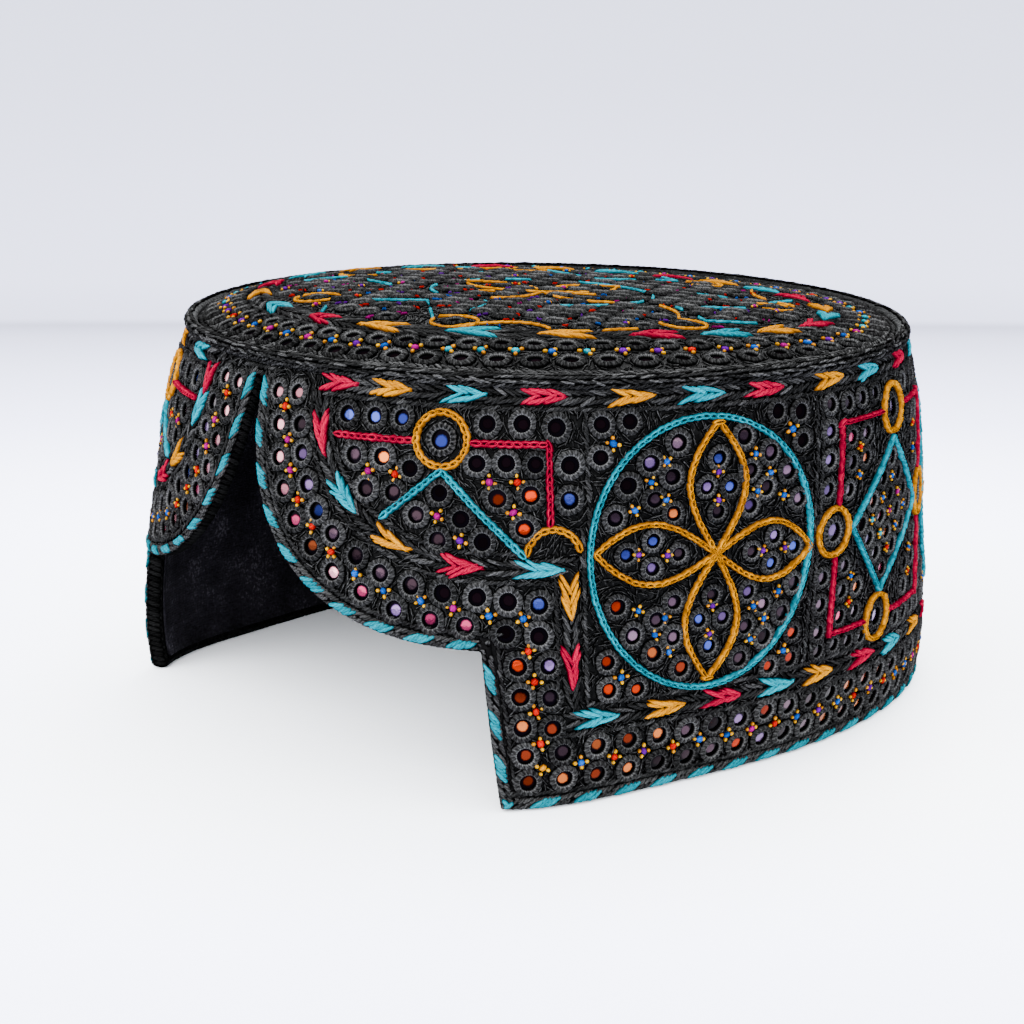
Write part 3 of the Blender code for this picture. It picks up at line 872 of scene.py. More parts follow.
# Lobe panel: rows of s, h, tint and size
LOBE_MIRRORS = (
    # column next to the binding
    (8.6, 85.0, "pink", 0.9), (11.2, 78.3, "pink", 0.95), (12.9, 71.2, "pink", 1),
    (15.7, 64.6, "pink", 1), (19.7, 58.6, "rose", 1), (25.1, 53.4, "peach", 1), (31.7, 49.0, "pink", 1),
    (39.4, 45.4, "rose", 1), (47.8, 42.8, "lilac", 1), (56.2, 41.3, "rose", 1), (63.9, 40.6, "rose", 1),
    # second column
    (15.4, 85.4, "pink", 0.9), (18.3, 79.1, "mauve", 0.95), (19.9, 73.0, "lilac", 0.95),
    (22.7, 66.6, "lilac", 1), (26.3, 61.2, "blue", 1), (31.2, 57.0, "ash", 1), (37.4, 53.0, "mauve", 1),
    (44.2, 50.0, "ash", 1), (51.6, 48.2, "mauve", 1), (59.1, 47.2, "dark", 1), (66.3, 46.8, "dark", 1),
    # corner above the step, and down beside the step
    (73.0, 46.0, "dark", 1), (72.6, 39.2, "dark", 1), (79.6, 45.3, "blue", 1), (79.4, 38.8, "dark", 1),
    (75.0, 32.4, "orange", 1), (81.3, 32.0, "lilac", 0.95), (75.5, 25.6, "rust", 1),
    (81.6, 25.2, "mauve", 0.95), (75.8, 18.9, "peach", 1), (81.9, 18.5, "rust", 0.95),
    (76.2, 12.5, "rust", 0.95), (76.5, 6.4, "rust", 0.95),
    # above and beside the red line
    (32.3, 82.6, "blue", 0.95), (40.0, 82.9, "blue", 0.95), (47.4, 83.0, "blue", 0.9),
    (68.8, 83.0, "dark", 0.95), (76.6, 83.0, "dark", 0.95), (84.6, 82.6, "dark", 1),
    (87.1, 74.9, "dark", 1), (87.0, 67.4, "blue", 1),
    # below the red line, left of the circle
    (35.6, 74.4, "ash", 1), (43.0, 74.6, "peach", 1), (50.2, 72.4, "dark", 0.95),
    (39.4, 67.8, "mauve", 1), (46.2, 67.6, "mauve", 0.95),
    # below the red line, right of the circle
    (66.3, 74.6, "dark", 0.95), (73.0, 74.9, "dark", 0.95), (79.4, 74.9, "dark", 0.9),
    (71.0, 67.9, "rust", 1), (78.2, 68.3, "orange", 1), (76.9, 61.6, "orange", 1),
    # under the turquoise angle
    (57.6, 68.2, "dark", 0.95), (52.4, 63.2, "mauve", 0.95), (62.8, 63.2, "dark", 0.95),
    (57.4, 58.2, "mauve", 0.95), (67.4, 58.4, "dark", 0.95),
)
# Rows of s, h and the middle's colour
LOBE_KNOTS = (
    (12.4, 81.9, "scarlet"), (15.3, 75.2, "magenta"), (17.2, 68.9, "magenta"), (20.4, 63.1, "scarlet"),
    (25.3, 57.7, "scarlet"), (31.2, 53.0, "scarlet"), (37.6, 49.2, "blue"), (45.4, 46.4, "blue"),
    (53.7, 45.0, "blue"), (61.4, 44.0, "magenta"), (69.0, 43.0, "blue"), (76.2, 42.4, "blue"),
    (77.2, 35.8, "scarlet"), (78.2, 28.8, "scarlet"), (78.6, 22.0, "scarlet"), (79.0, 15.4, "scarlet"),
    (79.8, 9.8, "orange"), (39.6, 71.2, "magenta"), (46.8, 71.4, "scarlet"), (69.4, 71.2, "magenta"),
    (75.4, 71.2, "scarlet"), (74.3, 64.4, "magenta"), (57.3, 63.4, "magenta"), (62.6, 58.6, "purple"),
)
# Arrows on each side of the front: rows of s and colour, repeated after these at an even pitch
TOP_ARROWS = {
    1: ((27.5, "red"), (44.0, "orange"), (63.2, "turquoise"), (82.0, "red"), (101.2, "orange"),
        (118.1, "turquoise"), (132.8, "red"), (151.6, "orange"), (166.9, "turquoise"), (186.8, "red")),
    -1: ((36.4, "turquoise"), (60.0, "orange"), (79.0, "red"), (98.0, "turquoise"), (115.0, "red"),
         (133.0, "orange"), (151.0, "turquoise"), (169.0, "red"), (187.0, "orange")),
}
LOW_ARROWS = ((92.2, "turquoise"), (107.9, "orange"), (124.4, "red"), (138.9, "turquoise"), (154.3, "orange"),
              (171.4, "red"), (187.7, "turquoise"), (204.0, "orange"))
ARROW_ORDER = ("turquoise", "orange", "red")
# Arrows on the lobes and beside the steps: rows of s, h and colour
LOBE_ARROWS = {
    1: ((24.8, 78.0, "red"), (32.9, 65.5, "turquoise"), (46.3, 57.5, "orange"), (62.8, 53.5, "red"),
        (79.7, 51.9, "turquoise")),
    -1: ((18.6, 84.0, "red"), (24.0, 76.0, "turquoise"), (34.6, 62.4, "orange"), (47.0, 54.4, "red"),
         (64.0, 53.2, "turquoise"), (80.0, 51.9, "orange")),
}
POST_ARROWS = ((86.4, 46.3, "orange"), (86.7, 32.5, "red"))
TOP_BAND = ((24.0, TOP_BAND_H), (HALF_ROUND - 1.5, TOP_BAND_H))
LOBE_BAND = np.concatenate([circle(67, 86, 43.0, 33.0, 180, 270, 40), [(85.0, 52.6)]])
POST_BAND = ((86.4, 50.2), (86.4, 23.2))
LOW_BAND = ((85.0, LOW_BAND_H), (HALF_ROUND - 1.5, LOW_BAND_H))
WALL_CORDS = (
    [(24.0, TOP_BAND_H - 2.6), (HALF_ROUND, TOP_BAND_H - 2.6)],
    circle(67, 86, 40.0, 30.0, 182, 270, 40),
    [(67.0, 56.0), (77.0, 56.0)],
    np.concatenate([circle(67, 86, 46.0, 36.0, 180, 270, 40), [(83.4, 49.6), (83.4, 22.9)]]),
    [(89.6, 61.0), (89.6, 22.9)],
    [(83.4, LOW_BAND_H - 3.2), (HALF_ROUND, LOW_BAND_H - 3.2)],
    [(89.6, LOW_BAND_H + 3.2), (HALF_ROUND, LOW_BAND_H + 3.2)],
    [(91.2, 61.0), (91.2, TOP_BAND_H - 3)],
    [(78.0, 54.6), (89.0, 54.6)],
    *[[(HALF_ROUND - pitches * PANEL_PITCH + shift, LOW_BAND_H + 4.5),
       (HALF_ROUND - pitches * PANEL_PITCH + shift, TOP_BAND_H - 4)]
      for pitches in (2.5, 1.5, 0.5) for shift in (-0.9, 0.9)],
)


def placed_arrows(band, given):
    """Arrows as distances along a band on the chart, from rows of s, h and colour near it."""
    band = dense(band)
    along = walked(band)
    return [(along[np.argmin(np.hypot(band[:, 0] - s, band[:, 1] - h))], colour) for s, h, colour in given]


def repeated_arrows(band, given, pitch):
    """Arrows as distances along a level band, with more of them at an even pitch to its end."""
    rows = list(given)
    while rows[-1][0] + pitch < HALF_ROUND - 6:
        s, colour = rows[-1]
        rows.append((s + pitch, ARROW_ORDER[(ARROW_ORDER.index(colour) + 1) % len(ARROW_ORDER)]))
    return [(s - band[0][0], colour) for s, colour in rows]


def sew_arrow_band(band, side, arrows):
    """A leaf band on the wall, with arrows at distances along it on the chart."""
    path = dense(band)
    true = walked(wall(*path.T) / MM)
    sew_leaves("wall", np.asarray(band) * (side, 1),
               [(np.interp(distance, walked(path), true), colour) for distance, colour in arrows])


def sew_wall_bands():
    """Leaf bands under the crown, round the lobes and above the rim, with dark cords beside them."""
    for side in (1, -1):
        sew_arrow_band(TOP_BAND, side, repeated_arrows(TOP_BAND, TOP_ARROWS[side], 17.9))
        sew_arrow_band(LOBE_BAND, side, placed_arrows(LOBE_BAND, LOBE_ARROWS[side]))
        sew_arrow_band(POST_BAND, side, placed_arrows(POST_BAND, POST_ARROWS))
        sew_arrow_band(LOW_BAND, side, repeated_arrows(LOW_BAND, LOW_ARROWS, 16.3))
        for path in WALL_CORDS:
            sew_cord("wall", path, side)


LOBE_MIRROR = (57.6, 79.2)
LOBE_LINES = (
    ("red", [(29.7, 78.2), (50.2, 78.5)]),
    ("red", [(65.0, 78.8), (82.6, 79.0), (82.6, 62.2)]),
    ("orange", circle(*LOBE_MIRROR, 6.2, 5.6)),
    ("orange", circle(83.2, 55.6, 5.8, 5.6, 176, 12, 20)),
    ("turquoise", [(43.6, 62.0), (57.9, 72.9)]),
    ("turquoise", [(57.9, 72.9), (76.6, 55.6)]),
)


def sew_lobe_panel():
    """The two panels beside the notch."""
    set_mirrors("wall", LOBE_MIRRORS)
    set_knots("wall", LOBE_KNOTS)
    for side in (1, -1):
        set_mirror("wall", side * LOBE_MIRROR[0], LOBE_MIRROR[1], "blue", 0.9, big=True)
        for colour, path in LOBE_LINES:
            sew_chain("wall", colour, path, side, width=1.05)


# Medallion, relative to its middle: one quarter outside the petals, and one petal
QUARTER_MIRRORS = ((7.9, 24.6, 0.95), (14.4, 20.6, 0.95), (9.2, 17.4, 0.9), (19.4, 16.0, 0.95),
                   (13.6, 13.0, 0.9), (22.8, 9.4, 0.9), (9.4, 9.6, 0.85))
QUARTER_KNOTS = ((10.6, 21.2), (14.2, 16.8), (18.2, 11.0), (11.2, 13.2))
QUARTER_TINTS = {
    (-1, 1): ("ash", "lilac", "mauve", "dark", "mauve", "ash", "peach"),
    (1, 1): ("mauve", "ash", "mauve", "ash", "mauve", "ash", "lilac"),
    (-1, -1): ("rust", "peach", "ash", "ash", "mauve", "orange", "ash"),
    (1, -1): ("mauve", "mauve", "ash", "mauve", "ash", "mauve", "lilac"),
}
QUARTER_SHIFT = 0.9
CORNER_MIRRORS = ((24.0, 29.4, 0.9), (17.6, 30.0, 0.85), (24.4, 22.8, 0.85))
OVAL_S = 27.6
OVAL_H = 30.4
FLOWER_SHIFT = 1.8
PETAL_MIRRORS = ((9.4, 0.0, "mauve", 0.78), (15.0, 3.1, "lilac", 0.82), (15.0, -3.1, "blue", 0.82),
                 (21.4, 0.0, "blue", 0.85))
PETAL_KNOTS = ((12.0, 0.0), (18.3, 0.0))
PETALS = (
    # turn in degrees from the +s direction, and reach
    (-3.8, 26.1), (88.4, 29.0), (175.9, 28.3), (266.6, 28.5),
)
PETAL_HALF = 6.7
# Low rows lie a little closer to the middle than high ones
LOW_SHARE = 0.96


def petal(reach, half):
    """Outline of one leaf-shaped petal along the first direction, from the middle and back."""
    share = np.linspace(0, 1, 25)
    across = half * np.sin(math.pi * share ** 1.12) ** 0.92
    side = np.stack([reach * share, across], axis=-1)
    return np.concatenate([side, side[-2::-1] * (1, -1)])


def sew_medallion(middle):
    """Turquoise oval with four orange petals."""
    centre = np.array([middle + FLOWER_SHIFT, PANEL_H])
    for (side, up), tints in QUARTER_TINTS.items():
        s = middle + QUARTER_SHIFT
        set_mirrors("wall", [(s + side * x, PANEL_H + up * y * 1.03, tint, size)
                             for (x, y, size), tint in zip(QUARTER_MIRRORS, tints)])
        set_knots("wall", [(s + side * x, PANEL_H + up * y, "blue") for x, y in QUARTER_KNOTS], size=0.85)
        tint, share = ("dark", 1.0) if up > 0 else ("orange", LOW_SHARE)
        set_mirrors("wall", [(middle + side * x, PANEL_H + up * y * share, tint, size)
                             for x, y, size in CORNER_MIRRORS])
        set_knots("wall", [(middle + side * 21.4, PANEL_H + up * 25.6, "blue")])
    for degrees, _ in PETALS:
        spots = centre + turned([row[:2] for row in PETAL_MIRRORS], degrees)
        set_mirrors("wall", [(*spot, *row[2:]) for spot, row in zip(spots, PETAL_MIRRORS)])
        set_knots("wall", [(*spot, "purple") for spot in centre + turned(PETAL_KNOTS, degrees)], size=0.8)
    for side in (1, -1):
        sew_chain("wall", "turquoise", circle(middle, PANEL_H, OVAL_S, OVAL_H, steps=90), side, width=0.92)
        for degrees, reach in PETALS:
            sew_chain("wall", "orange", centre + turned(petal(reach, PETAL_HALF), degrees), side, width=0.88,
                      lift=0.4)


# Square, relative to its middle: rows of height with places across, then of place, tint and size
DIAMOND_ROWS = ((13.2, (0.0,)), (8.8, (-4.4, 4.4)), (4.4, (-8.8, 0.0, 8.8)), (0.0, (-13.0, -4.4, 4.4, 13.0)),
                (-4.4, (-8.8, 0.0, 8.8)), (-8.8, (-4.4, 4.4)), (-13.2, (0.0,)))
DIAMOND_TINTS = ("ash", "mauve", "lilac", "peach", "mauve", "ash", "dark", "rose")
DIAMOND_KNOTS = ((-4.4, 4.2, "blue"), (4.4, 4.2, "magenta"), (-4.4, -4.2, "turquoise"), (4.4, -4.2, "blue"),
                 (0.0, 8.6, "blue"), (0.0, -8.6, "scarlet"), (0.0, 0.2, "magenta"), (-8.8, 0.0, "turquoise"),
                 (8.8, 0.0, "blue"))
INSIDE_CORNER = ((19.3, 21.2, "rose", 0.85), (13.4, 21.2, "ash", 0.82), (19.0, 15.2, "mauve", 0.85),
                 (13.2, 15.4, "peach", 0.8), (19.2, 9.0, "ash", 0.8))
CORNER_KNOTS = ((16.2, 18.3, "scarlet"), (16.2, 12.2, "blue"))
OUTSIDE_SIDE = ((27.0, 23.6), (27.0, 17.0), (27.0, 10.4))
OUTSIDE_TOP = ((20.6, 29.2, 0.8), (14.8, 29.4, 0.8), (9.2, 29.6, 0.75), (26.6, 29.6, 0.8))
SQUARE_S = 23.2
SQUARE_H = 24.9
DIAMOND_S = 17.6
DIAMOND_H = 18.2
LOOP_RADIUS = 5.5
LOOP_CLEAR = LOOP_RADIUS + 0.7
FOOT_LEAN = -2.8


def square_rows(foot):
    """Mirror and knot rows of a square whose foot leans to one side, relative to its middle."""
    diamond = [(foot * max(-up, 0) / DIAMOND_H + across, up) for up, row in DIAMOND_ROWS for across in row]
    mirrors = cycled(diamond, DIAMOND_TINTS, 0.84)
    knots = list(DIAMOND_KNOTS)
    for side in (1, -1):
        for up, tint, share in ((1, "lilac", 1.0), (-1, "ash", LOW_SHARE)):
            mirrors += [(side * x, up * y, corner_tint, size) for x, y, corner_tint, size in INSIDE_CORNER]
            mirrors += [(side * x, up * y, tint, 0.85) for x, y in OUTSIDE_SIDE]
            mirrors += [(side * x, up * y * share, "mauve", size) for x, y, size in OUTSIDE_TOP]
            knots += [(side * x, up * y, colour) for x, y, colour in CORNER_KNOTS]
    return mirrors, knots


def sew_square(middle):
    """Red square with an orange loop on each side's middle and a turquoise diamond inside."""
    back = middle > HALF_ROUND - 1
    foot = 0 if back else FOOT_LEAN
    widest = 0.1 if back else SQUARE_S * 2
    mirrors, knots = ([(middle + row[0], PANEL_H + row[1], *row[2:]) for row in rows if row[0] <= widest]
                      for rows in square_rows(foot))
    set_mirrors("wall", mirrors)
    set_knots("wall", knots, size=0.75)
    for side in (1,) if back else (1, -1):
        for x, y in ((0, SQUARE_H), (foot, -SQUARE_H), (SQUARE_S + 1.0, 0), (-SQUARE_S - 1.0, 0)):
            s, h = side * (middle + x), PANEL_H + y
            set_mirror("wall", s, h, "lilac", 0.92, big=True)
            sew_chain("wall", "orange", circle(s, h, LOOP_RADIUS * 0.95, LOOP_RADIUS, steps=36), width=0.88)
        for a in (1, -1):
            for b in (1, -1):
                lean = foot if b < 0 else 0
                corner = np.array([(a * SQUARE_S, b * LOOP_CLEAR), (a * SQUARE_S, b * SQUARE_H),
                                   (a * LOOP_CLEAR + lean, b * SQUARE_H)])
                edge = np.array([(a * DIAMOND_S, 0), (lean, b * DIAMOND_H)])
                sew_chain("wall", "red", corner + (middle, PANEL_H), side, width=0.75, height=1.2)
                sew_chain("wall", "turquoise", edge + (middle, PANEL_H), side, width=0.72)


RIM_FIRST_S = 84.0
RIM_COUNT = 29
RIM_LOW_H = 6.6
RIM_KNOT_H = 9.9
RIM_HIGH_H = 13.2
RIM_SIZE = 0.97
RIM_TINTS = ("peach", "mauve", "orange", "ash", "peach", "ash", "mauve", "rust", "mauve", "lilac")
RIM_KNOTS = ("purple", "blue", "scarlet", "purple", "scarlet", "blue", "blue", "magenta", "scarlet", "blue")


def sew_rim_rows():
    """Two rows of mirrors above the rim, with a knot between each four."""
    pitch = (HALF_ROUND - 3.8 - RIM_FIRST_S) / (RIM_COUNT - 1)
    s = RIM_FIRST_S + pitch * np.arange(RIM_COUNT)
    rows = []
    for k in range(RIM_COUNT):
        rows.append((s[k], RIM_HIGH_H if k else RIM_HIGH_H - 0.6, RIM_TINTS[(3 * k + 1) % 10], RIM_SIZE))
        rows.append((s[k], RIM_LOW_H, RIM_TINTS[(7 * k) % 10], RIM_SIZE))
    set_mirrors("wall", rows)
    set_knots("wall", [(s[k] - pitch / 2, RIM_KNOT_H, RIM_KNOTS[k % 10]) for k in range(1, RIM_COUNT)])


def nearest(points, spots):
    """Nearest spot to each point: its number and distance."""
    number = np.zeros(len(points), dtype=int)
    distance = np.zeros(len(points))
    for first in range(0, len(points), 800):
        part = slice(first, first + 800)
        gap = np.hypot(points[part, 0, None] - spots[:, 0], points[part, 1, None] - spots[:, 1])
        number[part] = gap.argmin(axis=1)
        distance[part] = gap.min(axis=1)
    return number, distance


def on_cloth(points, depth):
    """Whether chart places lie on the wall's cloth and deeper than that from its free edge."""
    away, h = np.abs(points[:, 0]), points[:, 1]
    reach = np.clip((LOBE_MIDDLE_S - away) / LOBE_REACH, 0, 1)
    lowest = LOBE_MIDDLE_H - LOBE_DROP * (1 - reach ** LOBE_POWER) ** (1 / LOBE_POWER)
    front = away < STEP_FOOT - (STEP_FOOT - STEP_HEAD) * h / STEP_TOP
    _, near = nearest(np.stack([away, h], axis=-1), EDGE[EDGE[:, 0] < HALF_ROUND])
    return ~(front & (h < lowest)) & (near > depth)


# Ground stitches of each surface: step between them, share of black ones, and height; and how much of a
# ring's radius, and how many millimetres beside a leaf band, they keep clear
GROUND = {"wall": (1.35, 0.66, 1.0), "crown": (1.45, 0.84, 0.65)}
RING_CLEAR = 0.98
BAND_CLEAR = 2.0
# Rows of height and reach to both sides of the front's middle
NOTCH_CORDS = ((90.3, 12.0), (89.1, 8.0), (87.9, 5.5))


def sew_ground(surface, points):
    """Short dark stitches that fill the cloth and bend round the rings."""
    spots = np.array(ring_spots[surface])
    number, distance = nearest(points, spots[:, :2])
    _, band = nearest(points, np.array(band_spots[surface]))
    keep = (distance > spots[number, 2] * RING_CLEAR) & (band > BAND_CLEAR)
    points, number = points[keep], number[keep]
    away = points - spots[number, :2]
    turn = turn_on(CHARTS[surface], points[:, 0], points[:, 1], -away[:, 1], away[:, 0])
    _, share, flat = GROUND[surface]
    for colour, part in split(len(points), share, "black", "charcoal"):
        count = part.sum()
        sew(surface, colour, THREAD_FINE, places(
            *points[part].T, turn[part] + random.normal(0, 0.3, count), random.uniform(2.4, 4.0, count),
            random.uniform(0.55, 0.8, count), random.uniform(0.5, 0.8, count) * flat))


def scattered(surface, low, high):
    """Chart places on a shaken grid."""
    step = GROUND[surface][0]
    u, v = np.meshgrid(np.arange(low[0], high[0], step), np.arange(low[1], high[1], step), indexing="ij")
    points = np.stack([u.ravel(), v.ravel()], axis=-1)
    return points + random.uniform(-0.5 * step, 0.5 * step, points.shape)


def sew_wall():
    """All panels, bands and ground stitches of the wall."""
    sew_wall_bands()
    sew_lobe_panel()
    for middle in MEDALLION_MIDDLES:
        sew_medallion(middle)
    for middle in SQUARE_MIDDLES:
        sew_square(middle)
    sew_rim_rows()
    beside_binding = inset(EDGE, BINDING_HEIGHT + 1.1)
    sew_cord("wall", beside_binding[np.abs(from_front(beside_binding[:, 0])) > 2.4])
    for height, reach in NOTCH_CORDS:
        sew_cord("wall", [(-reach, height), (reach, height)], width=1.4)
    ground = scattered("wall", (-HALF_ROUND, BINDING_HEIGHT), (HALF_ROUND, SEAM_HEIGHT - 1.0))
    sew_ground("wall", ground[on_cloth(ground, BINDING_HEIGHT + 0.9)])


# Crown: a border of two mirror rows, a leaf band with arrows, and a star of loops round a flower
CROWN_ROWS = (
    # depth from the crown's edge, how much deeper towards NEAR_ANGLE and opposite it, and ring size
    (4.3, 3.7, 1.0),
    (10.2, 6.0, 0.98),
)
CROWN_FLAT = 0.85
NEAR_ANGLE = math.radians(62.0)
CROWN_ROW_COUNT = 62
CROWN_BAND = (16.3, 6.8)
CROWN_ARROWS = (
    # angle from the front in degrees, and colour
    (-2.0, "red"), (15.2, "orange"), (34.8, "turquoise"), (52.9, "orange"), (70.2, "red"),
    (84.9, "turquoise"), (97.0, "orange"), (111.0, "red"), (123.5, "turquoise"), (135.3, "orange"),
    (152.0, "red"), (166.0, "turquoise"), (180.0, "orange"), (195.0, "red"), (210.0, "turquoise"),
    (225.0, "orange"), (240.0, "red"), (256.0, "turquoise"), (272.0, "orange"), (287.0, "turquoise"),
    (302.0, "red"), (316.8, "orange"), (337.6, "turquoise"),
)
CROWN_KNOTS = ("magenta", "blue", "purple", "blue", "magenta", "turquoise", "turquoise", "turquoise", "blue",
               "turquoise", "purple", "purple", "scarlet", "purple", "blue")
CROWN_LOOPS = (-23.5, 27.5, 82.0, 128.0, 180.0, 232.0, 284.0)
LOOP_DISTANCE = 57.0
STAR_NOTCH = 38.0
# Ground stitches reach to this share of the crown's radius, which is everywhere less than the reach
CROWN_SHARE = 0.985
CROWN_REACH = 92
CORD_HEIGHT = 0.6
# Rows of depth and slant of the stitches next to the rope
EDGE_FILL = ((2.0, 0.5), (3.1, -0.5))


def crown_line(angles, depth, deeper):
    """Chart places along the crown's edge, deeper on the two sides that NEAR_ANGLE names."""
    return crown_place(angles, depth + deeper * np.cos(angles - NEAR_ANGLE) ** 4)


def spoke(degrees, radius):
    """Chart place on the crown, for an angle in degrees from the front."""
    return polar(np.radians(degrees), radius)


def sew_crown_border():
    """Mirror rows, knots, cords and the leaf band round the crown."""
    angles = np.linspace(0, ROUND, CROWN_ROW_COUNT, endpoint=False)
    for depth, deeper, size in CROWN_ROWS:
        spots = crown_line(angles, depth, deeper)
        for spot, turn in zip(spots, turn_on(crown, *spots.T, np.cos(angles), np.sin(angles))):
            u, v = spot + random.normal(0, MIRROR_SHIFT, 2)
            set_mirror("crown", u, v, "dark", size, turn=turn, flat=CROWN_FLAT)
    between = np.mean(CROWN_ROWS, axis=0)[:2]
    knots = crown_line(angles + math.pi / CROWN_ROW_COUNT, *between)
    set_knots("crown", cycled(knots, CROWN_KNOTS), mirrored=False, size=1.08, petals=3)
    turns = np.linspace(0, ROUND, 241)
    sew_cord("crown", crown_place(turns, 0.6), height=CORD_HEIGHT)
    for shift in (-3.0, 3.0):
        sew_cord("crown", crown_line(turns, CROWN_BAND[0] + shift, CROWN_BAND[1]), height=CORD_HEIGHT)
    band = crown_line(turns[::-1], *CROWN_BAND)
    along = walked(crown(*band.T) / MM)
    sew_leaves("crown", band, [(np.interp(ROUND - math.radians(angle % 360), turns, along), colour)
                               for angle, colour in CROWN_ARROWS], 1.4)
    for depth, slant in EDGE_FILL:
        u, v, turn, _ = walk(crown, crown_place(turns, depth), 1.5)
        for colour, part in split(len(u), 0.5, "black", "charcoal"):
            strands = places(u[part], v[part], turn[part] + slant, 3.0, 1.0, 0.6)
            sew("crown", colour, THREAD, shaken(strands, 0.1, 0.1, 0.1))


def bent(a, b, c, steps=12):
    """Smooth line from a to c that bends towards b."""
    t = np.linspace(0, 1, steps)[:, None]
    return (1 - t) ** 2 * a + 2 * t * (1 - t) * b + t ** 2 * c


def broken(line, kept):
    """Stretches of a line, some 5 mm long, of which only a share is kept."""
    line = dense(line)
    parts = np.array_split(line, max(1, len(line) // 13))
    return [part for part in parts if len(part) > 3 and random.uniform() < kept]


# The star's lines near the second loop, as the photograph shows them
NEAR_LINES = (
    ("turquoise", 1.0, bent(spoke(25.4, 43.4), spoke(26.6, 32.3), spoke(18.2, 27.8))),
    ("orange", 1.0, bent(spoke(86.2, 50.6), spoke(95.7, 44.2), spoke(102.9, 34.4))),
    ("orange", 1.0, bent(spoke(29.0, 62.0), spoke(44.0, 50.0), spoke(49.4, 60.0))),
    ("orange", 1.0, [spoke(61.0, 61.0), spoke(68.0, 60.4)]),
)


def sew_crown_star():
    """Orange loops round mirrors, a turquoise zigzag between them, and a flower in the middle."""
    lines = []
    for k, (angle, after) in enumerate(zip(CROWN_LOOPS, CROWN_LOOPS[1:] + (CROWN_LOOPS[0] + 360,))):
        loop = spoke(angle, LOOP_DISTANCE)
        set_mirror("crown", *loop, "dark", 0.95)
        open_side = 50 if k == 2 else 12
        lines.append(("orange", 1.0 if k < 3 else 0.8,
                      circle(*loop, 5.6, 5.2, 185 + open_side, 545 - open_side, steps=30)))
        if k == 1:
            lines += NEAR_LINES
            continue
        start, notch, end = spoke(angle + 8, 56), spoke((angle + after) / 2, STAR_NOTCH), spoke(after - 6, 56)
        lines += [("turquoise", 0.55, line) for line in (
            [start, notch], [notch, end], [start, spoke(angle + 17, 63.0)])]
        if k in (3, 5):
            line = bent(spoke(angle + 6, 62.0), spoke(angle + 20, 52.0), spoke(after - 14, 62.0))
            lines.append(("orange", 0.8, line))
    lines.append(("turquoise", 0.55, circle(0, 0, 27.5, 27.5, -36, 250, steps=70)))
    lines += [("orange", 0.6, turned(petal(27.0, 6.6), degrees)) for degrees in (-93.6, 10.4, 93.4, 183.4)]
    sewn = [(colour, part) for colour, kept, line in lines for part in broken(line, kept)]
    for colour, part in sewn:
        sew_chain("crown", colour, part, width=0.44, height=0.62, lift=0.3)
    return np.concatenate([part for _, part in sewn])


# Fill inside the crown's border: a triangular grid of mirrors, with knots or flecks between them
FILL_PITCH = 7.3
FILL_ROW = FILL_PITCH * 0.866
FILL_VOID = FILL_PITCH * 0.577
FILL_REACH = 70
LINE_CLEAR = 2.6
FILL_TINTS = ("dark", "dark", "mauve", "dark", "dark", "dark", "dark")
FILL_KNOTS = ("magenta", "purple", "blue", "scarlet", "magenta", "purple")
KNOTTED_VOIDS = 0.13
FLECKS = ("magenta", "scarlet", "purple", "scarlet", "blue")


def set_flecks(spots):
    """Short loose strands of dim colour, two at each place."""
    for k, spot in enumerate(spots):
        x, y = (middle + random.normal(0, 0.9, 2) for middle in spot)
        turn, length = random.uniform(0, math.pi, 2), random.uniform(1.4, 2.6, 2)
        sew("crown", FLECKS[k % len(FLECKS)], THREAD_FINE, places(x, y, turn, length, 0.75, 0.7, 0.15))


def roomy(points, lines, from_band, from_rings):
    """The points that are clear of the crown's lines, its leaf band and its mirrors' middles."""
    rings = np.array(ring_spots["crown"])[:, :2]
    bands = np.array(band_spots["crown"])
    keep = np.hypot(points[:, 0], points[:, 1]) < FILL_REACH
    for spots, clear in ((lines, LINE_CLEAR), (bands, from_band), (rings, from_rings)):
        keep &= nearest(points, spots)[1] > clear
    return points[keep]


def fill_crown(lines):
    """Mirrors, knots and flecks on a triangular grid wherever the crown's lines leave room."""
    grid = np.array([((i + 0.5 * (j % 2)) * FILL_PITCH, j * FILL_ROW)
                     for j in range(-11, 12) for i in range(-10, 11)])
    chosen = roomy(grid, lines, from_band=6.4, from_rings=5.9)
    chosen = chosen + random.normal(0, 0.4, chosen.shape)
    set_mirrors("crown", cycled(chosen, FILL_TINTS, 1.0), mirrored=False)
    voids = roomy(grid + (0, FILL_VOID), lines, from_band=5.5, from_rings=3.6)
    knotted = random.uniform(size=len(voids)) < KNOTTED_VOIDS
    set_knots("crown", cycled(voids[knotted], FILL_KNOTS), mirrored=False, size=0.75, petals=2)
    set_flecks(voids[~knotted])


def sew_crown():
    """Border, star and ground stitches of the crown."""
    sew_crown_border()
    fill_crown(sew_crown_star())
    ground = scattered("crown", (-CROWN_REACH, -CROWN_REACH), (CROWN_REACH, CROWN_REACH))
    share = np.hypot(ground[:, 0], ground[:, 1]) / crown_edge(np.arctan2(ground[:, 0], -ground[:, 1]))
    sew_ground("crown", ground[share < CROWN_SHARE])


def merged(groups):
    """Groups with the same chart and template as one group each."""
    together = {}
    for chart, template, rows in groups:
        together.setdefault((id(chart), id(template)), (chart, template, []))[2].append(rows)
    return [(chart, template, np.concatenate(rows, axis=1)) for chart, template, rows in together.values()]


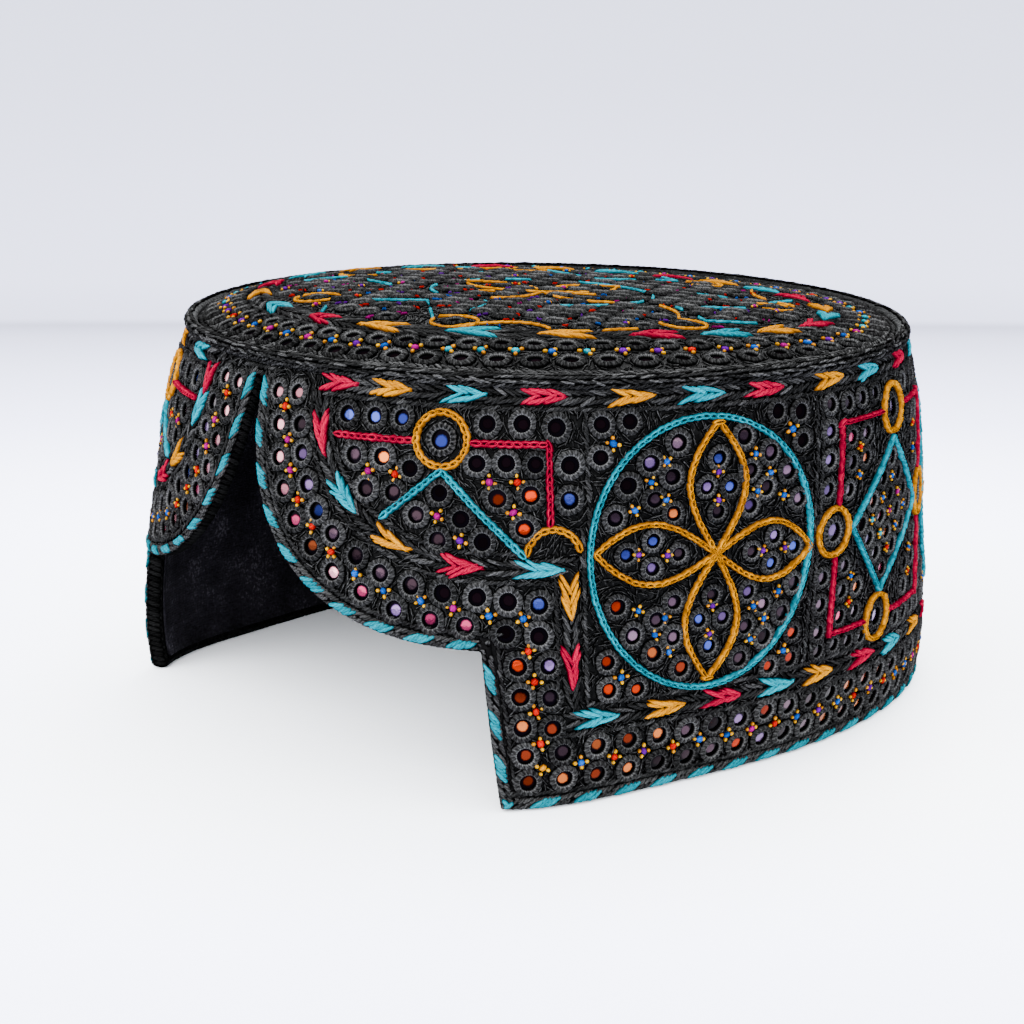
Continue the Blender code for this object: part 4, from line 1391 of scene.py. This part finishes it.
def add_laid_pieces():
    """One piece for each colour of thread on each surface, each surface's rings, and each tint and knot."""
    for colour in THREADS["wall"]:
        for surface in CHARTS:
            name = f"{colour}_stitches_{surface}"
            if name in laid:
                add_stamps(name, THREADS[surface][colour], "embroidery", laid[name])
    framed = [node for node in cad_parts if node.startswith("framed_mirror")]
    for surface, nodes in (("wall", framed), ("crown", ())):
        name = f"mirror_rings_{surface}"
        add_stamps(name, THREADS[surface]["ring"], "embroidery", merged(laid[name]), nodes)
    for ending, materials, slot in (("mirrors", MIRRORS, "mirror"), ("knots", THREADS["wall"], "embroidery")):
        for colour, material in materials.items():
            name = f"{colour}_{ending}"
            if name in laid:
                add_stamps(name, material, slot, merged(laid[name]))


# Cloth and lining


def edge_faces(columns, rows, row):
    """Quads that join a row of a closed grid to the same row of a second grid whose points follow it."""
    c = np.arange(columns)
    after, count = (c + 1) % columns, columns * rows
    return np.stack([c * rows, c * rows + count, after * rows + count, after * rows], axis=-1) + row


def wall_shell(name, node, top, outside, thickness, material, slot):
    """Closed shell of the wall between two depths, with the notch, finer than its solid."""
    columns, rows = 420, 26
    s = np.linspace(-HALF_ROUND, HALF_ROUND, columns, endpoint=False)
    foot = wall_foot(s, BINDING_HEIGHT - GAP)
    h = foot[:, None] + (top - foot)[:, None] * np.linspace(0, 1, rows)
    outer, inner = (wall(s[:, None], h, depth).reshape(-1, 3) for depth in (outside, outside - thickness))
    points = np.concatenate([outer, inner])
    quads = grid_faces(columns, rows, closed=True)
    low, high = edge_faces(columns, rows, 0), edge_faces(columns, rows, rows - 1)
    faces = np.concatenate([quads, quads[:, ::-1] + columns * rows, low, high[:, [0, 3, 2, 1]]])
    in_notch = foot > top - 0.5
    faces = faces[~in_notch[faces % (columns * rows) // rows].any(axis=1)]
    used, numbers = np.unique(faces, return_inverse=True)
    add_mesh(name, points[used], numbers.reshape(faces.shape), material, slot, (node,))


NOTCH_FOOT = 200.0


def wall_foot(s, depth):
    """Height of the cloth's lower edge, drawn in from the free edge, and far above the cap in the notch."""
    edge = inset(HALF_EDGE, depth)
    away = np.abs(from_front(s))
    order = np.argsort(edge[:, 0])
    foot = np.interp(away, edge[order, 0], edge[order, 1])
    return np.where(away < edge[:, 0].min(), NOTCH_FOOT, foot)


def crown_shell(name, node, drop, outward, thickness, material, slot):
    """Closed shell of the crown, finer than its solid."""
    rings, columns = 34, 160
    share = np.linspace(1, 0.02, rings)
    angle = np.linspace(0, ROUND, columns, endpoint=False)[:, None]
    place = polar(angle, (crown_edge(angle) + CROWN_INSET + outward) * share)
    rise = crown_rise(share, angle)
    upper = np.concatenate([place, (rise - drop)[..., None]], axis=-1).reshape(-1, 3)
    tops = np.array([[0, 0, CROWN_RISE - drop]])
    down = np.array([0, 0, thickness])
    points = np.concatenate([upper, upper - down, tops, tops - down])
    points = (points + (0, -CROWN_FORWARD - CENTRE_BACK, CROWN_TOP)) * MM
    quads = as_triangles(grid_faces(columns, rings, closed=True))
    count = columns * rings
    inner = np.arange(columns) * rings + rings - 1
    after = np.roll(inner, -1)
    middle = np.full(columns, 2 * count)
    side = as_triangles(edge_faces(columns, rings, 0)[:, ::-1])
    faces = np.concatenate([quads, quads[:, ::-1] + count, side, np.stack([inner, after, middle], axis=-1),
                            np.stack([after + count, inner + count, middle + 1], axis=-1)])
    add_mesh(name, points, faces, material, slot, (node,))


def add_cloth():
    """Cloth and lining of the wall and the crown."""
    cloth = CLOTH, CLOTH_MATERIAL, "black_cloth"
    lining = LINING, LINING_MATERIAL, "black_lining"
    lining_out = -STITCH_DEPTH - CLOTH - GAP
    lining_top = CROWN_TOP - CLOTH - 2 * GAP - LINING
    wall_shell("band_cloth", "side_band", SEAM_HEIGHT - GAP, -STITCH_DEPTH, *cloth)
    wall_shell("band_lining_cloth", "band_lining", lining_top, lining_out, *lining)
    crown_shell("crown_cloth", "crown_panel", 0.0, -CROWN_INSET, *cloth)
    crown_shell("crown_lining_cloth", "crown_lining", CLOTH + GAP, lining_out, *lining)


def add_core(name, chart, t, w, share, closed, node, slot):
    """Tube under the stitches of a chart that goes round it, a little thinner than the stitches' foot."""
    grid = chart(t[:, None], w[None, :])
    centre = grid.mean(axis=1, keepdims=True)
    points = (centre + (grid - centre) * share).reshape(-1, 3)
    add_mesh(name, points, grid_faces(len(t), len(w), closed, tube=True), CLOTH_MATERIAL, slot, (node,))


# Edge binding: a black padded core, slanted satin stitches over it, and dark cords between their patches
PATCH_PITCH = 9.9
PATCH_STITCHES = 4
STITCH_STEP = 1.15
SATIN_SLANT = math.radians(33)
CORD_STEP = 1.4
CORD_PLACES = (0.9, -0.5)
WRAP_PLACES = (-2.9, 4.9)


def binding_stitches():
    """Rows of the satin patches, dark cords and wraps, the same from both ends to the back middle."""
    corner, step = (EDGE_WALK[np.argmin(np.hypot(EDGE[:, 0] - s, EDGE[:, 1] - h))]
                    for s, h in ((STEP_FOOT, 0.0), (STEP_HEAD, STEP_TOP)))
    patches, cords, wraps = [], [], []
    for end, sign in ((0.0, 1), (EDGE_LENGTH, -1)):
        for middle in np.arange(corner % PATCH_PITCH, EDGE_LENGTH / 2, PATCH_PITCH):
            for k in range(PATCH_STITCHES):
                t = middle + (k - (PATCH_STITCHES - 1) / 2) * STITCH_STEP
                near = min(abs(t - corner), abs(t - step))
                if near >= 0.8 and t > 1:
                    length = 4.9 if near > 2.5 else 2.8
                    patches.append((end + sign * t, 0.1, sign * SATIN_SLANT, length, 1.4, 0.7, 0.08))
        for t in np.arange(1.0, EDGE_LENGTH / 2, CORD_STEP):
            length = 3.6 if min(abs(t - corner), abs(t - step)) > 2.0 else 1.8
            for across in CORD_PLACES:
                place = end + sign * (t + random.uniform(0, 0.6))
                cords.append((place, across, sign * 0.5, length, 1.3, 0.5, -0.1))
            for across in WRAP_PLACES:
                wraps.append((end + sign * t, across, QUARTER + sign * 0.35, 4.2, 2.0, 0.12, -0.03))
    return patches, cords, wraps


def make_binding():
    """Core and stitches of the binding."""
    add_core("binding_core", binding, np.linspace(0, EDGE_LENGTH, 900),
             np.linspace(SECTION_WALK[0], SECTION_WALK[-1], 17)[:-1], 0.93, False, "edge_binding",
             "turquoise_binding")
    patches, cords, wraps = binding_stitches()
    for name, thread, rows in (("turquoise_satin", SATIN_THREAD, patches),
                               ("black_cords", THREADS["wall"]["black"], cords),
                               ("black_wraps", WRAP_SHADE_THREAD, wraps)):
        stitches = shaken(np.array(rows).T, 0.05, 0.06, 0.08)
        add_stamps(f"binding_{name}", thread, "turquoise_binding", [(binding, THREAD, stitches)])


# Seam rope: rows of fine yarns that wind slowly round a core, each a place across it, a slant and a colour;
# the upper rows are the rope's grey and the two lower rows black, painted shade under the rope
ROPE_ROWS = ((2.2, 0.1, "charcoal"), (1.3, 0.14, "charcoal"), (0.3, -0.12, "charcoal"), (-0.7, 0.3, "black"),
             (-1.9, 0.4, "black"))


def make_rope():
    """Plaited rope on the seam between the wall and the crown."""
    add_core("rope_core", rope, np.linspace(-HALF_ROUND, HALF_ROUND, 300, endpoint=False),
             np.linspace(0, ROUND * ROPE_RADIUS, 13)[:-1], 0.9, True, "seam_rope", "grey_black_rope")
    yarns = {"ink": [], "black": [], "charcoal": []}
    for across, slant, pale in ROPE_ROWS:
        t = np.arange(-HALF_ROUND, HALF_ROUND, 1.8) + random.uniform(0, 1)
        for colour, part in split(len(t), 0.6, "ink", pale):
            strands = places(t[part], across, slant, 4.3, 0.95, 0.62, -0.1)
            yarns[colour].append(shaken(strands, 0.1, 0.1, 0.12))
    for colour, parts in yarns.items():
        add_stamps(f"rope_{colour}_yarns", THREADS["wall"][colour], "grey_black_rope",
                   [(rope, THREAD, np.concatenate(parts, axis=1))])


# Floor, light and camera
CAMERA_PLACE = (0.4186, -0.3873, 0.1811)
CAMERA_TURN = 48.43
CAMERA_DROP = 0.2411
CAMERA_LENS = 80.86
SEAM_TURN = math.radians(CAMERA_TURN - 1.0)
FLOOR_REACH = 8.0
FLOOR_PAINTED_LIGHT = (
    # distance from the cap's middle in metres, and paleness: palest near the cap, where the first stop lifts
    # the shade under it as painted light, then greying as painted shade for a dimmer backdrop, darkest along
    # a soft line behind the cap
    (0.10, 1.0), (0.17, 0.87), (0.32, 0.52), (0.40, 0.40), (0.52, 0.24), (0.552, 0.175), (0.572, 0.265),
    (0.70, 0.30),
)
FLOOR_TINT = (0.935, 0.958, 1.28)


def floor_material():
    """Pale floor with painted light and shade: lightest near the cap, lifting the shade under it, then
    greying towards a soft darker line behind the cap, the same to all four sides.
    """
    material = Material("pale_floor", roughness=0.7, gloss=0.1)
    place = material.add("TexCoord", "Object", {})
    turned_place = material.add("Mapping", "Vector", {"Vector": place, "Rotation": (0, 0, -SEAM_TURN)})
    parts = material.add("SeparateXYZ", "X", {"Vector": turned_place}).node.outputs
    powers = [material.calc("POWER", material.calc("ABSOLUTE", parts[axis]), 5.0) for axis in "XY"]
    reach = material.calc("POWER", material.calc("ADD", *powers), 0.2)
    material.colour(reach, [(distance, tuple(min(1.0, paleness * c) for c in FLOOR_TINT))
                            for distance, paleness in FLOOR_PAINTED_LIGHT])
    return material.data


def make_floor():
    """A wide plane under the cap."""
    mesh = bpy.data.meshes.new("floor")
    corners = [(FLOOR_REACH * x, FLOOR_REACH * y, 0) for x, y in ((-1, -1), (1, -1), (1, 1), (-1, 1))]
    mesh.from_pydata(corners, [], [(0, 1, 2, 3)])
    mesh.materials.append(floor_material())
    floor = bpy.data.objects.new("floor", mesh)
    floor.location = (0, 0, -0.0003)
    bpy.context.scene.collection.objects.link(floor)


def make_light(name, place, size, power):
    """A square area light that looks at the cap and doesn't show itself from any side."""
    light = bpy.data.lights.new(name, "AREA")
    light.size = size
    light.energy = power
    lamp = bpy.data.objects.new(name, light)
    lamp.location = place
    x, y, z = np.array([0, 0, 0.05]) - np.array(place)
    lamp.rotation_euler = (math.atan2(math.hypot(x, y), -z), 0, math.atan2(y, x) - QUARTER)
    lamp.visible_camera = False
    bpy.context.scene.collection.objects.link(lamp)


def make_world():
    """Soft pale light from all round."""
    world = bpy.data.worlds.new("studio")
    bpy.context.scene.world = world
    world.use_nodes = True
    background = world.node_tree.nodes["Background"]
    background.inputs["Color"].default_value = (0.94, 0.965, 1.0, 1)
    background.inputs["Strength"].default_value = 7.0


def make_camera():
    """Camera at the photo's angle."""
    data = bpy.data.cameras.new("camera")
    data.lens = CAMERA_LENS
    data.sensor_width = 36
    camera = bpy.data.objects.new("camera", data)
    camera.location = CAMERA_PLACE
    camera.rotation_euler = (QUARTER - CAMERA_DROP, 0, math.radians(CAMERA_TURN))
    bpy.context.scene.collection.objects.link(camera)
    bpy.context.scene.camera = camera


sew_wall()
sew_crown()
add_laid_pieces()
add_cloth()
make_binding()
make_rope()
make_floor()
make_world()
make_light("key", (-0.30, 0.75, 1.35), 0.8, 45)
make_light("fill", (1.80, -5.52, 2.85), 9.6, 2400)
make_camera()
